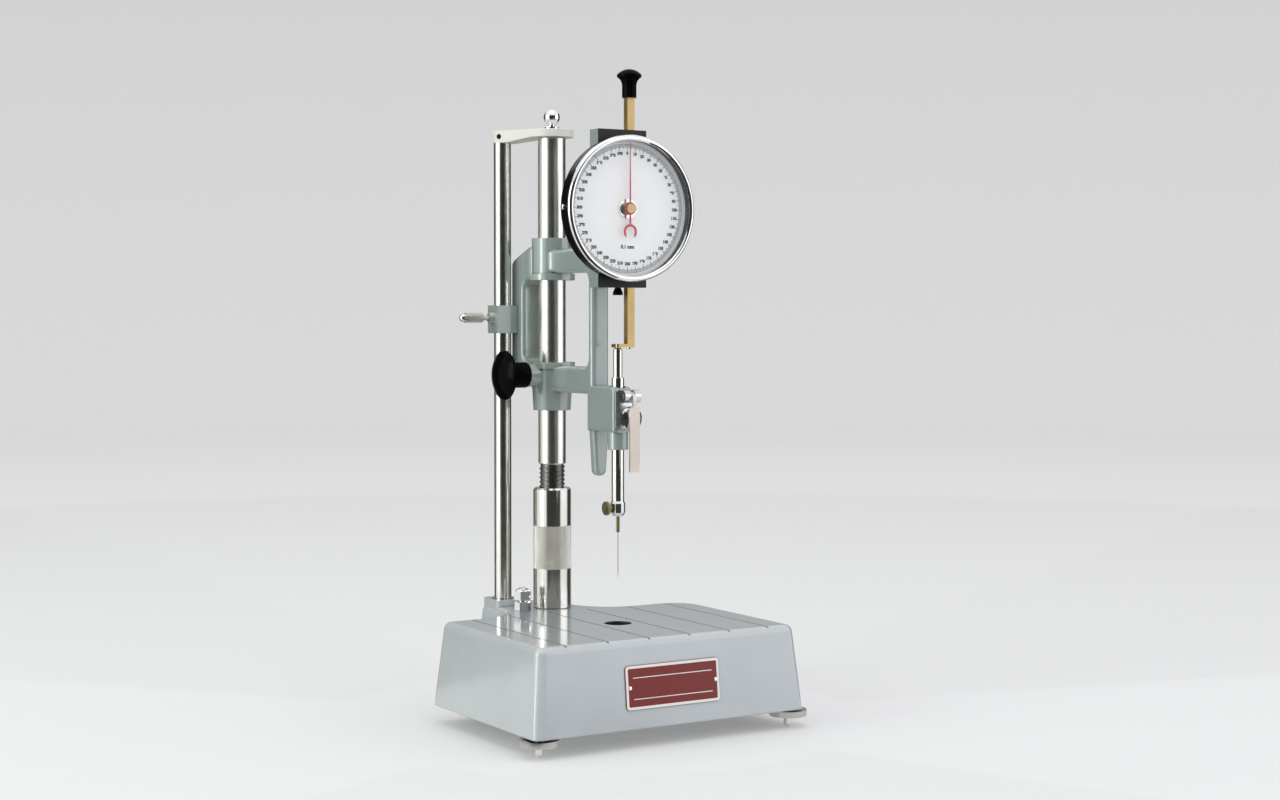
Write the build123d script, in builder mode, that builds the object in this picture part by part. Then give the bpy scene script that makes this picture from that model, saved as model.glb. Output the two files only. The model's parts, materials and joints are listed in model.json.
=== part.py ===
"""A laboratory penetrometer: a needle on a falling plunger below a rack and dial, on a column and base."""

from build123d import *
import os
from math import cos, hypot, pi, radians, sin, sqrt, tan

# Driving dimensions, in millimetres and degrees. The front, with the dial, faces -Y.

# Fits
running_gap = 0.06
loose_gap = 0.3

# Base casting
foot_height = 15.8
base_width = 267.2
base_depth = 191.0
base_height = 73.2
base_draft = 5.4
base_corner = 8.0
rear_corner = 36.0
base_edge = 6.5
base_wall = 6.0
base_deck = 9.0
column_behind = 21.5
groove_count = 6
groove_spacing = 40.0
groove_width = 1.6
groove_depth = 1.2
well_diameter = 24.0

# Rear lobe of the base, which carries the column and the guide rod
lobe_left = 54.2
lobe_right = 33.2
lobe_back = 60.8
lobe_corner = 16.0
lobe_blend = 36.0
pad_width = 26.0
pad_front = 14.5
pad_back = 16.0
pad_height = 6.2
pad_corner = 4.0

# Name plate
plate_width = 92.5
plate_height = 36.5
plate_thickness = 0.9
plate_corner = 3.0
plate_drop = 39.0
plate_x = -1.2
rivet_diameter = 3.6
rivet_inset = 4.0

# Feet
foot_inset_x = 10.1
foot_inset_y = 12.3
foot_boss_overlap = 0.5
stud_diameter = 7.3
stud_depth = 40.0
stud_room = 5.0
stud_flat = 4.0
wheel_diameter = 33.0
wheel_thickness = 5.2
wheel_gap = 1.0
wheel_flutes = 60
rear_foot_x = -9.5
rear_foot_y = 35.5
rear_stud_diameter = 9.5
rear_collar_diameter = 18.0
rear_collar_height = 5.0
rear_boss_wall = 2.0

# Lock stud beside the column, with a jam nut below its dome nut
lock_x = -34.7
lock_y = -7.2
lock_stud_diameter = 8.0
lock_stud_depth = 30.0
lock_boss_wall = 5.0
jam_nut_flats = 13.0
jam_nut_height = 8.6
jam_nut_chamfer = 0.8
jam_nut_turn = -20.0
dome_nut_gap = 1.6
dome_nut_flats = 14.5
dome_nut_turn = -12.0
dome_nut_hex = 8.0
dome_height = 3.0

# Column, guide rod and adjusting nut
column_diameter = 25.4
column_length = 300.0
thread_diameter = 23.4
thread_depth = 1.0
thread_pitch = 4.0
thread_shown = 21.5
thread_turns = 10
spigot_diameter = 20.0
spigot_depth = 45.0
column_drop = 20.0
column_chamfer = 1.2
spigot_room = 2.0
bush_wall = 5.0
bush_length = 56.0
bush_flange = 0.8
bush_flange_inset = 2.0
nut_diameter = 35.0
nut_chamfer = 1.5
nut_length = 109.7
knurl_start = 35.2
knurl_length = 40.0
knurl_recess = 0.5
rod_x = -32.0
rod_y = 36.5
rod_diameter = 15.875
rod_depth = 45.0
rod_bush_wall = 3.0
rod_bush_drop = 3.0

# Top plate and finial
top_plate_thickness = 7.0
top_plate_drop = 4.0
top_plate_radius = 20.0
top_plate_end_radius = 8.8
top_plate_edge = 1.0
tenon_diameter = 10.0
tenon_length = 9.0
set_screw_diameter = 5.0
set_screw_recess = 0.4
set_screw_socket = 1.6
ball_diameter = 15.0
ball_rise = 11.5
ball_neck = 6.0
ball_flange = 13.4
ball_flange_height = 2.4
finial_depth = 20.0

# Head casting, measured from the underside of its lower boss
head_height = 50.0
throat = 118.0
lower_boss_height = 44.0
lower_boss_radius = 19.5
lower_boss_foot = 17.2
upper_boss_rise = 119.0
upper_boss_height = 38.5
upper_boss_radius = 18.5
boss_lip = 2.8
boss_lip_height = 6.0
spine_half = 21.0
spine_root = 3.0
spine_front = 18.5
spine_back = 41.0
spine_rise = 24.0
spine_top_drop = 8.0
spine_slope_start = 9.0
spine_slope_fall = 12.5
spine_cut_depth = 12.0
spine_cut_height = 16.0
spine_corner = 8.0
spine_edge = 3.5
arm_half = 9.0
arm_edge = 4.2
arm_flare = 12.0
flare_sink = 0.06
upper_arm_rise = 125.0
upper_arm_height = 22.0
lower_arm_rise = 17.0
lower_arm_height = 24.0
bar_front = 89.0
bar_thickness = 9.0
frame_corner = 9.0
block_half = 9.6
block_front = 9.0
block_rise = -15.0
block_height = 40.0
block_corner = 6.0
block_edge = 2.5
rest_length = 40.0
rest_root = 6.0
rest_half = 8.4
rest_tip_half = 5.4
rest_thickness = 10.0
rest_edge = 3.0
guide_radius = 9.0
guide_rise = -30.0
guide_length = 51.0
clamp_rise = 70.4
clamp_height = 25.7
clamp_reach = 10.5
clamp_front = 9.5
clamp_back = 9.5

# Rack bracket, dial and pinion
dial_rise = 179.0
bracket_half = 24.0
bracket_rise = 111.0
bracket_height = 136.8
bracket_back = 7.0
bracket_front = 6.8
cover_thickness = 1.4
teeth_per_turn = 20
travel_per_turn = 40.0
tooth_addendum = 0.5
tooth_depth = 1.2
pinion_thickness = 5.0
arbor_diameter = 4.0
arbor_bush_wall = 1.5
arbor_back_wall = 1.5
rack_width = 7.2
rack_thickness = 6.35
rack_bottom = 62.0
rack_length = 214.0
rack_teeth_low = 123.0
rack_teeth_count = 44
rack_foot_height = 3.0
rack_foot_reach = 5.0
rack_foot_corner = 2.0
foot_screw_diameter = 4.8
foot_screw_height = 1.6
foot_screw_slot = 0.8
rack_tenon = 5.0
rack_tenon_length = 12.0
knob_height = 25.0
knob_rim = 21.5
knob_neck = 12.6
stop_height = 6.5
stop_top = 5.0
stop_bottom = 8.6
dial_case_radius = 61.5
dial_case_wall = 2.0
dial_case_ledge = 6.0
dial_case_depth = 15.0
dial_ledge_depth = 7.0
dial_face_thickness = 1.0
side_screw_diameter = 4.8
side_screw_height = 2.4
side_screw_sink = 0.4
side_screw_round = 1.4
side_screw_slot = 0.8
side_screw_slot_depth = 0.7
bezel_wall = 1.7
bezel_cover = 3.2
bezel_lip = 1.4
bezel_skirt = 1.2
bezel_round = 1.0
glass_thickness = 1.2
pointer_length = 56.5
pointer_thickness = 0.5
pointer_tail = 20.0
pointer_width = 1.6
pointer_tip = 0.5
tail_radius = 6.5
tail_ring = 2.0
tail_mouth = 8.0
hub_diameter = 8.0
hub_ring_diameter = 11.0
pointer_rise = 4.6
hub_reach = 1.4
hub_plate_diameter = 17.0
hub_plate_thickness = 0.6
hub_slot_length = 5.0
hub_slot_width = 2.0

# Plunger, chuck and needle, measured from the top of the plunger
plunger_gap = 0.3
stem_diameter = 8.0
stem_length = 25.7
plunger_diameter = 11.0
plunger_length = 108.0
plunger_chamfer = 0.8
stem_chamfer = 1.5
plunger_bush_wall = 1.6
chuck_diameter = 13.0
chuck_height = 13.0
chuck_nose = 3.0
chuck_shoulder = 2.0
chuck_grip = 3.2
chuck_screw_diameter = 3.0
chuck_disc_diameter = 12.0
chuck_disc_thickness = 2.4
chuck_disc_reach = 12.8
chuck_disc_boss = 6.0
chuck_disc_boss_height = 0.8
chuck_disc_flutes = 36
ferrule_diameter = 3.2
ferrule_shown = 14.5
ferrule_grip = 10.0
ferrule_chamfer = 0.6
needle_diameter = 1.0
needle_shown = 39.5
needle_cone = 6.35
needle_flat = 0.16

# Clutch and release lever
clutch_rise = -2.0
clutch_bar_half = 7.5
clutch_bar_height = 6.0
clutch_travel = 1.8
clutch_wall = 3.0
housing_half = 8.0
housing_depth = 7.0
housing_bottom = 10.0
housing_top = 24.5
ear_radius = 5.5
ear_root = 2.0
housing_corner = 3.0
lever_pin_rise = 19.0
lever_pin_front = 5.0
lever_pin_diameter = 3.0
lever_pin_end = 0.4
lever_width = 9.7
lever_neck = 3.4
lever_shoulder = 9.2
lever_thickness = 2.0
lever_front = 12.7
lever_length = 65.0
lever_knuckle = 3.8
button_diameter = 21.0
button_thickness = 1.8
button_gap = 6.0
button_stem = 6.0
button_chamfer = 0.8
spring_wall = 1.5

# Small screws
screw_head = 2.1
screw_shank = 1.2
screw_head_height = 2.0
screw_grip = 6.0
housing_screw_drop = 6.8
housing_screw_spacing = 10.0
housing_screw_grip = 2.4

# Clamp knob and rod thumbscrew
clamp_knob_rise = 32.5
clamp_knob_diameter = 45.0
clamp_knob_start = 27.0
clamp_knob_hub = 21.0
clamp_knob_neck = 11.7
clamp_knob_rim = 2.5
clamp_knob_crown = 7.5
clamp_knob_edge = 1.2
clamp_boss_radius = 11.0
clamp_stud_diameter = 8.0
clamp_stud_hold = 4.0
clamp_shoe_thickness = 2.0
thumb_shank_diameter = 4.8
thumb_rise = 1.4
thumb_shank_shown = 11.0
thumb_head_diameter = 9.0
thumb_head_length = 17.5
thumb_collar = 1.8
thumb_crown = 3.6
thumb_boss_length = 4.5
thumb_boss_wall = 3.2
thumb_boss_taper = 20.0
thumb_flutes = 24

# Heights and axes that follow from them
base_bottom = foot_height
base_top = base_bottom + base_height
draft_run = base_height * tan(radians(base_draft))
front_to_column = base_depth + column_behind
front_reach = max(front_to_column, front_to_column - foot_inset_y + wheel_diameter / 2)
column_y = (front_reach - lobe_back) / 2
base_front = column_y - front_to_column
base_back = base_front + base_depth
column_radius = column_diameter / 2
nut_bottom = base_top + bush_flange
nut_top = nut_bottom + nut_length
shoulder = nut_top + thread_shown
column_top = shoulder + column_length
head = shoulder + head_height
needle_y = column_y - throat
rod_axis_y = column_y + rod_y
foot_x = base_width / 2 - foot_inset_x
foot_y = base_front + foot_inset_y
bracket_bottom = head + bracket_rise
bracket_top = bracket_bottom + bracket_height
dial_z = head + dial_rise
fixing_x = 0.75 * bracket_half
case_fixing_z = 0.26 * bracket_height
cover_fixing_z = 0.35 * bracket_height
case_screw_places = ((-fixing_x, 0), (fixing_x, case_fixing_z), (fixing_x, -case_fixing_z))
cover_screw_places = (
    (-fixing_x, cover_fixing_z),
    (fixing_x, cover_fixing_z),
    (-fixing_x, -cover_fixing_z),
    (fixing_x, -cover_fixing_z),
)
pinion_radius = travel_per_turn / (2 * pi)
tooth_pitch = travel_per_turn / teeth_per_turn
rack_left = pinion_radius - tooth_addendum
rack_right = rack_left + rack_width
rack_z = head + rack_bottom
rack_top = rack_z + rack_length
rack_front_y = needle_y - bracket_front + running_gap
rack_back_y = rack_front_y + rack_thickness
cover_front_y = needle_y - bracket_front - cover_thickness
plunger_top = rack_z - rack_foot_height - plunger_gap
plunger_shoulder = plunger_top - stem_length
plunger_bottom = plunger_shoulder - plunger_length
chuck_bottom = plunger_bottom - chuck_height
ferrule_bottom = chuck_bottom - ferrule_shown
needle_tip = ferrule_bottom - needle_shown
block_front_y = needle_y - block_front
clutch_z = head + clutch_rise
housing_front_y = block_front_y - housing_depth
housing_screw_z = clutch_z - housing_screw_drop
lever_pin_y = housing_front_y - lever_pin_front
lever_pin_z = clutch_z + lever_pin_rise
lever_back_y = housing_front_y - lever_front + lever_thickness
clamp_z = head + clamp_knob_rise
thumb_z = head + clamp_rise + clamp_height / 2 + thumb_rise
clamp_left = rod_x - clamp_reach
MIN = (Align.CENTER, Align.CENTER, Align.MIN)
MAX = (Align.CENTER, Align.CENTER, Align.MAX)


def upright(x, y):
    """A vertical half plane at (x, y) for turned profiles of radius and height."""
    return Plane(origin=(x, y, 0), x_dir=(1, 0, 0), z_dir=(0, -1, 0))


def leftward(y, z):
    """A half plane for turned profiles of radius and distance along -X."""
    return Plane(origin=(0, y, z), x_dir=(0, 0, 1), z_dir=(0, -1, 0))


def forward(x, y, z):
    """A half plane for turned profiles of radius and distance along -Y."""
    return Plane(origin=(x, y, z), x_dir=(1, 0, 0), z_dir=(0, 0, -1))


def facing_front(y, z):
    """A plane across the dial's axis that faces -Y, with +X to the right and +Z up."""
    return Plane(origin=(0, y, z), x_dir=(1, 0, 0), z_dir=(0, -1, 0))


def facing_left(x, y, z):
    """A plane that faces -X, with +Z up."""
    return Plane(origin=(x, y, z), x_dir=(0, -1, 0), z_dir=(-1, 0, 0))


def cap_radius(half_width, rise):
    """The radius of a round cap of this half width and rise."""
    return (half_width**2 + rise**2) / (2 * rise)


def outline(plane, *points):
    """A straight-sided face through the points."""
    with BuildSketch(plane) as sketch:
        with BuildLine():
            Polyline(*points, close=True)
        make_face()
    return sketch.sketch


def fluted_disc(plane, radius, flutes):
    """A disc whose rim is cut by round flutes, as on a knurled head."""
    flute = 0.25 * 2 * pi * radius / flutes
    with BuildSketch(plane) as sketch:
        Circle(radius)
        with PolarLocations(radius, flutes):
            Circle(flute, mode=Mode.SUBTRACT)
    return sketch.sketch


def save(piece, name):
    """Names a finished piece and writes it."""
    piece.part.label = name
    export_step(piece.part, f"parts/{name}.step")


os.makedirs("parts", exist_ok=True)
column_axis = Axis((0, column_y, 0), (0, 0, 1))
rod_axis = Axis((rod_x, rod_axis_y, 0), (0, 0, 1))
needle_axis = Axis((0, needle_y, 0), (0, 0, 1))
dial_axis = Axis((0, needle_y, dial_z), (0, -1, 0))
clamp_axis = Axis((0, column_y, clamp_z), (-1, 0, 0))
thumb_axis = Axis((0, rod_axis_y, thumb_z), (-1, 0, 0))
column_plane = upright(0, column_y)
rod_plane = upright(rod_x, rod_axis_y)
needle_plane = upright(0, needle_y)


# Base casting: a drafted hollow box with a rear lobe, open below
def base_outline(inset):
    """The outline of the base at its bottom edge, drawn in all round by the inset."""
    side = base_width / 2
    lobe_end = column_y + lobe_back
    with BuildSketch(Plane.XY.offset(base_bottom)) as plan:
        with BuildLine():
            Polyline(
                (-side, base_front),
                (side, base_front),
                (side, base_back),
                (lobe_right, base_back),
                (lobe_right, lobe_end),
                (-lobe_left, lobe_end),
                (-lobe_left, base_back),
                (-side, base_back),
                close=True,
            )
        make_face()
        rear = plan.vertices().filter_by(lambda v: abs(v.Y - base_back) < 0.01).sort_by(Axis.X)
        fillet(rear[1:3], lobe_blend)
        fillet(plan.vertices().filter_by(lambda v: abs(v.Y - lobe_end) < 0.01), lobe_corner)
        fillet(plan.vertices().filter_by(lambda v: v.Y > base_back - 0.01).sort_by(Axis.X)[-1], rear_corner)
        if inset > 0:
            offset(amount=-inset, kind=Kind.INTERSECTION)
    return plan.sketch


def sharp_corners(box):
    """The slanted corner edges of the drafted base, without the round corner at the rear right."""
    upright_edges = box.edges().filter_by(lambda edge: edge.bounding_box().size.Z > base_height / 2)
    return upright_edges.filter_by(
        lambda edge: edge.center().X < draft_run - base_width / 2 or edge.center().Y < base_front + draft_run
    )


foot_boss_radius = foot_inset_x + foot_boss_overlap
rear_foot_place = (rear_foot_x, column_y + rear_foot_y)
lock_place = (lock_x, column_y + lock_y)
lock_radius = lock_stud_diameter / 2
lock_low = base_top - lock_stud_depth
bush_radius = spigot_diameter / 2 + bush_wall
rod_bush_radius = rod_diameter / 2 + rod_bush_wall
with BuildPart() as cavity:
    extrude(base_outline(base_wall), amount=base_height - base_deck, taper=base_draft)
    with Locations((0, column_y, base_top - bush_length)):
        Cylinder(bush_radius + base_wall, bush_length, align=MIN, mode=Mode.SUBTRACT)
    with Locations((rod_x, rod_axis_y, base_top - bush_length)):
        Cylinder(rod_bush_radius + base_wall, bush_length, align=MIN, mode=Mode.SUBTRACT)
    with Locations((*rear_foot_place, base_bottom)):
        Cylinder(rear_collar_diameter / 2 + rear_boss_wall, base_height, align=MIN, mode=Mode.SUBTRACT)
    with Locations((*lock_place, lock_low)):
        Cylinder(lock_radius + lock_boss_wall, lock_stud_depth, align=MIN, mode=Mode.SUBTRACT)
    with Locations((foot_x, foot_y, base_bottom), (-foot_x, foot_y, base_bottom)):
        Cylinder(foot_boss_radius, base_height, align=MIN, mode=Mode.SUBTRACT)

with BuildPart() as rod_pad:
    with Locations((rod_x, rod_axis_y + (pad_back - pad_front) / 2, base_top - base_deck)):
        Box(pad_width, pad_front + pad_back, base_deck + pad_height, align=MIN)
    fillet(rod_pad.edges().filter_by(Axis.Z), pad_corner)

groove_y = (base_front + base_back - draft_run) / 2
with BuildPart() as base_casting:
    extrude(base_outline(0), amount=base_height, taper=base_draft)
    fillet(sharp_corners(base_casting), base_corner)
    fillet(base_casting.faces().sort_by(Axis.Z)[-1].edges(), base_edge)
    add(cavity.part, mode=Mode.SUBTRACT)
    add(rod_pad.part)
    with Locations((0, groove_y, base_top)):
        with GridLocations(groove_spacing, 1, groove_count, 1):
            Box(groove_width, base_depth - draft_run, 2 * groove_depth, mode=Mode.SUBTRACT)
    with Locations((0, column_y, base_top - bush_length)):
        Cylinder(bush_radius, bush_length, align=MIN, mode=Mode.SUBTRACT)
    with Locations((rod_x, rod_axis_y, base_top - bush_length)):
        Cylinder(rod_bush_radius, bush_length + pad_height, align=MIN, mode=Mode.SUBTRACT)
    with Locations((0, needle_y, base_top - base_deck)):
        Cylinder(well_diameter / 2, base_deck, align=MIN, mode=Mode.SUBTRACT)
    with Locations((*rear_foot_place, base_bottom)):
        Cylinder(rear_stud_diameter / 2, stud_depth, align=MIN, mode=Mode.SUBTRACT)
    with Locations((*lock_place, lock_low)):
        Cylinder(lock_radius, lock_stud_depth, align=MIN, mode=Mode.SUBTRACT)
    with Locations((foot_x, foot_y, base_bottom), (-foot_x, foot_y, base_bottom)):
        Cylinder(stud_diameter / 2 + running_gap, stud_depth + stud_room, align=MIN, mode=Mode.SUBTRACT)
save(base_casting, "base_casting")

# Name plate, bare, on the drafted front face
plate_z = base_top - plate_drop
plate_y = base_front + (plate_z - base_bottom) * tan(radians(base_draft))
plate_normal = (0, -cos(radians(base_draft)), sin(radians(base_draft)))
plate_plane = Plane(origin=(plate_x, plate_y, plate_z), x_dir=(1, 0, 0), z_dir=plate_normal)
rivet_x = plate_width / 2 - rivet_inset
with BuildPart() as nameplate:
    with BuildSketch(plate_plane):
        RectangleRounded(plate_width, plate_height, plate_corner)
    extrude(amount=plate_thickness)
save(nameplate, "nameplate")

with BuildPart() as nameplate_rivets:
    with BuildSketch(plate_plane.offset(plate_thickness)):
        with Locations((-rivet_x, 0), (rivet_x, 0)):
            Circle(rivet_diameter / 2)
    extrude(amount=plate_thickness)
    fillet(nameplate_rivets.edges().group_by(Axis.Y)[0], plate_thickness * 0.8)
save(nameplate_rivets, "nameplate_rivets")

# Bushes in the base, for the column's spigot and for the guide rod
spigot_radius = spigot_diameter / 2
flange_radius = nut_diameter / 2 - bush_flange_inset
with BuildPart() as column_bush:
    revolve(outline(
        column_plane,
        (spigot_radius + running_gap, base_top - bush_length),
        (bush_radius, base_top - bush_length),
        (bush_radius, base_top),
        (flange_radius, base_top),
        (flange_radius, nut_bottom),
        (spigot_radius + running_gap, nut_bottom),
    ), axis=column_axis)
save(column_bush, "column_bush")

with BuildPart() as rod_bush:
    with BuildSketch(Plane.XY.offset(base_top - bush_length)):
        with Locations((rod_x, rod_axis_y)):
            Circle(rod_bush_radius)
            Circle(rod_diameter / 2 + running_gap, mode=Mode.SUBTRACT)
    extrude(amount=bush_length + pad_height - rod_bush_drop)
save(rod_bush, "rod_bush")

# Levelling feet: a stud that screws in and out of the base, and its knurled wheel
wheel_top = base_bottom - wheel_gap
wheel_bottom = wheel_top - wheel_thickness
stud_radius = stud_diameter / 2
for side, x in (("left", -foot_x), ("right", foot_x)):
    foot_axis = Axis((x, foot_y, 0), (0, 0, 1))
    with BuildPart() as foot_stud:
        revolve(outline(
            upright(x, foot_y),
            (0, 0),
            (stud_flat / 2, 0),
            (stud_radius, stud_radius - stud_flat / 2),
            (stud_radius, base_bottom + stud_depth),
            (0, base_bottom + stud_depth),
        ), axis=foot_axis)
    save(foot_stud, f"front_foot_stud_{side}")
    with BuildPart() as foot_wheel:
        rim = Plane(origin=(x, foot_y, wheel_bottom))
        extrude(fluted_disc(rim, wheel_diameter / 2, wheel_flutes), amount=wheel_thickness)
        with Locations((x, foot_y, wheel_bottom)):
            Cylinder(stud_radius + running_gap, wheel_thickness, align=MIN, mode=Mode.SUBTRACT)
    save(foot_wheel, f"front_foot_wheel_{side}")

# Rear foot: a fixed stud in the lobe, with a collar below it
rear_radius = rear_stud_diameter / 2
with BuildPart() as rear_foot:
    revolve(outline(
        upright(*rear_foot_place),
        (0, 0),
        (stud_flat / 2, 0),
        (rear_radius, rear_radius - stud_flat / 2),
        (rear_radius, base_bottom - rear_collar_height),
        (rear_collar_diameter / 2, base_bottom - rear_collar_height),
        (rear_collar_diameter / 2, base_bottom),
        (rear_radius, base_bottom),
        (rear_radius, base_bottom + stud_depth),
        (0, base_bottom + stud_depth),
    ), axis=Axis((*rear_foot_place, 0), (0, 0, 1)))
save(rear_foot, "rear_foot")

# Lock stud: stands in the deck beside the column, with a jam nut and a dome nut on it
dome_nut_low = base_top + jam_nut_height + dome_nut_gap
lock_top = dome_nut_low + dome_nut_hex
with BuildPart() as lock_stud:
    with Locations((*lock_place, lock_low)):
        Cylinder(lock_radius, lock_top - lock_low, align=MIN)
save(lock_stud, "lock_stud")

with BuildPart() as jam_nut:
    with BuildSketch(Plane(origin=(*lock_place, base_top))):
        RegularPolygon(jam_nut_flats / 2, 6, major_radius=False, rotation=jam_nut_turn)
    extrude(amount=jam_nut_height)
    chamfer(jam_nut.faces().sort_by(Axis.Z)[-1].edges(), jam_nut_chamfer)
    with Locations((*lock_place, base_top)):
        Cylinder(lock_radius, jam_nut_height, align=MIN, mode=Mode.SUBTRACT)
save(jam_nut, "jam_nut")

with BuildPart() as dome_nut:
    with BuildSketch(Plane(origin=(*lock_place, dome_nut_low))):
        RegularPolygon(dome_nut_flats / 2, 6, major_radius=False, rotation=dome_nut_turn)
    extrude(amount=dome_nut_hex)
    with BuildSketch(upright(*lock_place)):
        with BuildLine():
            dome_start = (dome_nut_flats / 2, lock_top)
            dome_end = (0, lock_top + dome_height)
            RadiusArc(dome_start, dome_end, -cap_radius(dome_start[0], dome_height))
            Polyline(dome_end, (0, lock_top), dome_start)
        make_face()
    revolve(axis=Axis((*lock_place, 0), (0, 0, 1)))
    with Locations((*lock_place, dome_nut_low)):
        Cylinder(lock_radius, dome_nut_hex, align=MIN, mode=Mode.SUBTRACT)
save(dome_nut, "dome_nut")

# Adjusting nut: a long sleeve that turns on the bush and raises the column by its thread
nut_radius = nut_diameter / 2
nut_bore = thread_diameter / 2 + running_gap
band_low = nut_bottom + knurl_start
band_high = band_low + knurl_length
with BuildPart() as adjusting_nut:
    revolve(outline(
        column_plane,
        (nut_bore, nut_bottom),
        (nut_radius, nut_bottom),
        (nut_radius, band_low),
        (nut_radius - knurl_recess, band_low),
        (nut_radius - knurl_recess, band_high),
        (nut_radius, band_high),
        (nut_radius, nut_top - nut_chamfer),
        (nut_radius - nut_chamfer, nut_top),
        (nut_bore, nut_top),
    ), axis=column_axis)
save(adjusting_nut, "adjusting_nut")

# Column: plain above, a coarse thread in the nut, and a spigot that slides in the bush
core_radius = thread_diameter / 2 - thread_depth
thread_low = nut_bottom + column_drop + spigot_room
thread_end = shoulder - thread_pitch / 2
thread_start = thread_end - thread_turns * thread_pitch
finial_bore = ball_neck / 2
with BuildPart() as column:
    revolve(outline(
        column_plane,
        (0, base_top - spigot_depth),
        (spigot_radius, base_top - spigot_depth),
        (spigot_radius, thread_low),
        (core_radius, thread_low),
        (core_radius, shoulder),
        (column_radius - column_chamfer, shoulder),
        (column_radius, shoulder + column_chamfer),
        (column_radius, column_top - column_chamfer),
        (column_radius - column_chamfer, column_top),
        (finial_bore, column_top),
        (finial_bore, column_top - finial_depth),
        (0, column_top - finial_depth),
    ), axis=column_axis)
    with BuildLine() as thread_path:
        Helix(thread_pitch, thread_turns * thread_pitch, core_radius, center=(0, column_y, thread_start))
    thread_line = thread_path.line
    with BuildSketch(Plane(origin=thread_line @ 0, x_dir=(1, 0, 0), z_dir=thread_line % 0)):
        with BuildLine():
            Polyline(
                (-thread_depth / 3, -0.3 * thread_pitch),
                (thread_depth, -0.15 * thread_pitch),
                (thread_depth, 0.15 * thread_pitch),
                (-thread_depth / 3, 0.3 * thread_pitch),
                close=True,
            )
        make_face()
    sweep(path=thread_line, is_frenet=True)
save(column, "column")

# Guide rod: rises and falls with the column, and keeps it from turning
rod_radius = rod_diameter / 2
tenon_radius = tenon_diameter / 2
rod_top = column_top - top_plate_drop
with BuildPart() as guide_rod:
    revolve(outline(
        rod_plane,
        (0, base_top - rod_depth),
        (rod_radius, base_top - rod_depth),
        (rod_radius, rod_top),
        (tenon_radius, rod_top),
        (tenon_radius, rod_top + tenon_length),
        (0, rod_top + tenon_length),
    ), axis=rod_axis)
save(guide_rod, "guide_rod")

# Top plate: a pear-shaped link, thicker over the rod
rod_distance = hypot(rod_x, rod_y)
to_rod = (rod_x / rod_distance, rod_y / rod_distance)
plate_top = column_top + top_plate_thickness
side_plane = Plane(origin=(0, column_y, 0), x_dir=(*to_rod, 0), z_dir=(to_rod[1], -to_rod[0], 0))
with BuildPart() as top_plate:
    with BuildSketch(Plane.XY.offset(rod_top)):
        with Locations((0, column_y)):
            Circle(top_plate_radius)
        with Locations((rod_x, rod_axis_y)):
            Circle(top_plate_end_radius)
        make_hull()
    extrude(amount=plate_top - rod_top)
    relief = outline(
        side_plane,
        (-top_plate_radius - 1, rod_top - 1),
        (rod_distance - top_plate_end_radius, rod_top - 1),
        (rod_distance - top_plate_end_radius, rod_top),
        (column_radius + 1, column_top),
        (-top_plate_radius - 1, column_top),
    )
    extrude(relief, amount=2 * top_plate_radius, both=True, mode=Mode.SUBTRACT)
    fillet(top_plate.faces().sort_by(Axis.Z)[-1].edges(), top_plate_edge)
    with Locations((rod_x, rod_axis_y, rod_top)):
        Cylinder(tenon_radius, tenon_length, align=MIN, mode=Mode.SUBTRACT)
    with Locations((0, column_y, column_top)):
        Cylinder(finial_bore, top_plate_thickness, align=MIN, mode=Mode.SUBTRACT)
    screw_plane = Plane(
        origin=(rod_x, rod_axis_y, (rod_top + plate_top) / 2), z_dir=(-to_rod[1], to_rod[0], 0)
    )
    with BuildSketch(screw_plane):
        Circle(set_screw_diameter / 2)
    extrude(amount=top_plate_radius, mode=Mode.SUBTRACT)
save(top_plate, "top_plate")

with BuildPart() as set_screw:
    with BuildSketch(screw_plane.offset(tenon_radius)):
        Circle(set_screw_diameter / 2)
    extrude(amount=top_plate_end_radius - tenon_radius - set_screw_recess)
    with BuildSketch(screw_plane.offset(top_plate_end_radius - set_screw_recess)):
        RegularPolygon(set_screw_diameter / 4, 6)
    extrude(amount=-set_screw_socket, mode=Mode.SUBTRACT)
save(set_screw, "top_plate_set_screw")

# Ball finial: its stud holds the top plate on the column
ball_radius = ball_diameter / 2
ball_z = plate_top + ball_rise
with BuildPart() as ball_finial:
    with Locations((0, column_y, ball_z)):
        Sphere(ball_radius)
    with Locations((0, column_y, plate_top)):
        Cylinder(ball_flange / 2, ball_flange_height, align=MIN)
        Cylinder(ball_neck / 2, ball_rise, align=MIN)
    with Locations((0, column_y, column_top - finial_depth)):
        Cylinder(finial_bore, finial_depth + top_plate_thickness, align=MIN)
save(ball_finial, "ball_finial")

# Head casting: rear spine with two bosses, a front frame, the plunger block and the rack bracket
lower_top = head + lower_boss_height
upper_bottom = head + upper_boss_rise
upper_top = upper_bottom + upper_boss_height
bore_radius = column_radius + running_gap
side_view = Plane.YZ
spine_low = head + spine_rise
spine_high = upper_top - spine_top_drop
spine_back_y = column_y + spine_back
with BuildPart() as spine:
    with BuildSketch(side_view) as spine_face:
        with BuildLine():
            Polyline(
                (column_y, spine_high),
                (column_y + spine_slope_start, spine_high),
                (spine_back_y, spine_high - spine_slope_fall),
                (spine_back_y, spine_low + spine_cut_height),
                (spine_back_y - spine_cut_depth, spine_low),
                (column_y, spine_low),
                (column_y, lower_top),
                (column_y + spine_front, lower_top),
                (column_y + spine_front, upper_bottom),
                (column_y, upper_bottom),
                close=True,
            )
        make_face()
        fillet(spine_face.vertices().filter_by(lambda v: v.X > column_y + 1), spine_corner)
    extrude(amount=spine_half, both=True)
    fillet(spine.faces().filter_by(Axis.X).edges(), spine_edge)

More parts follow.
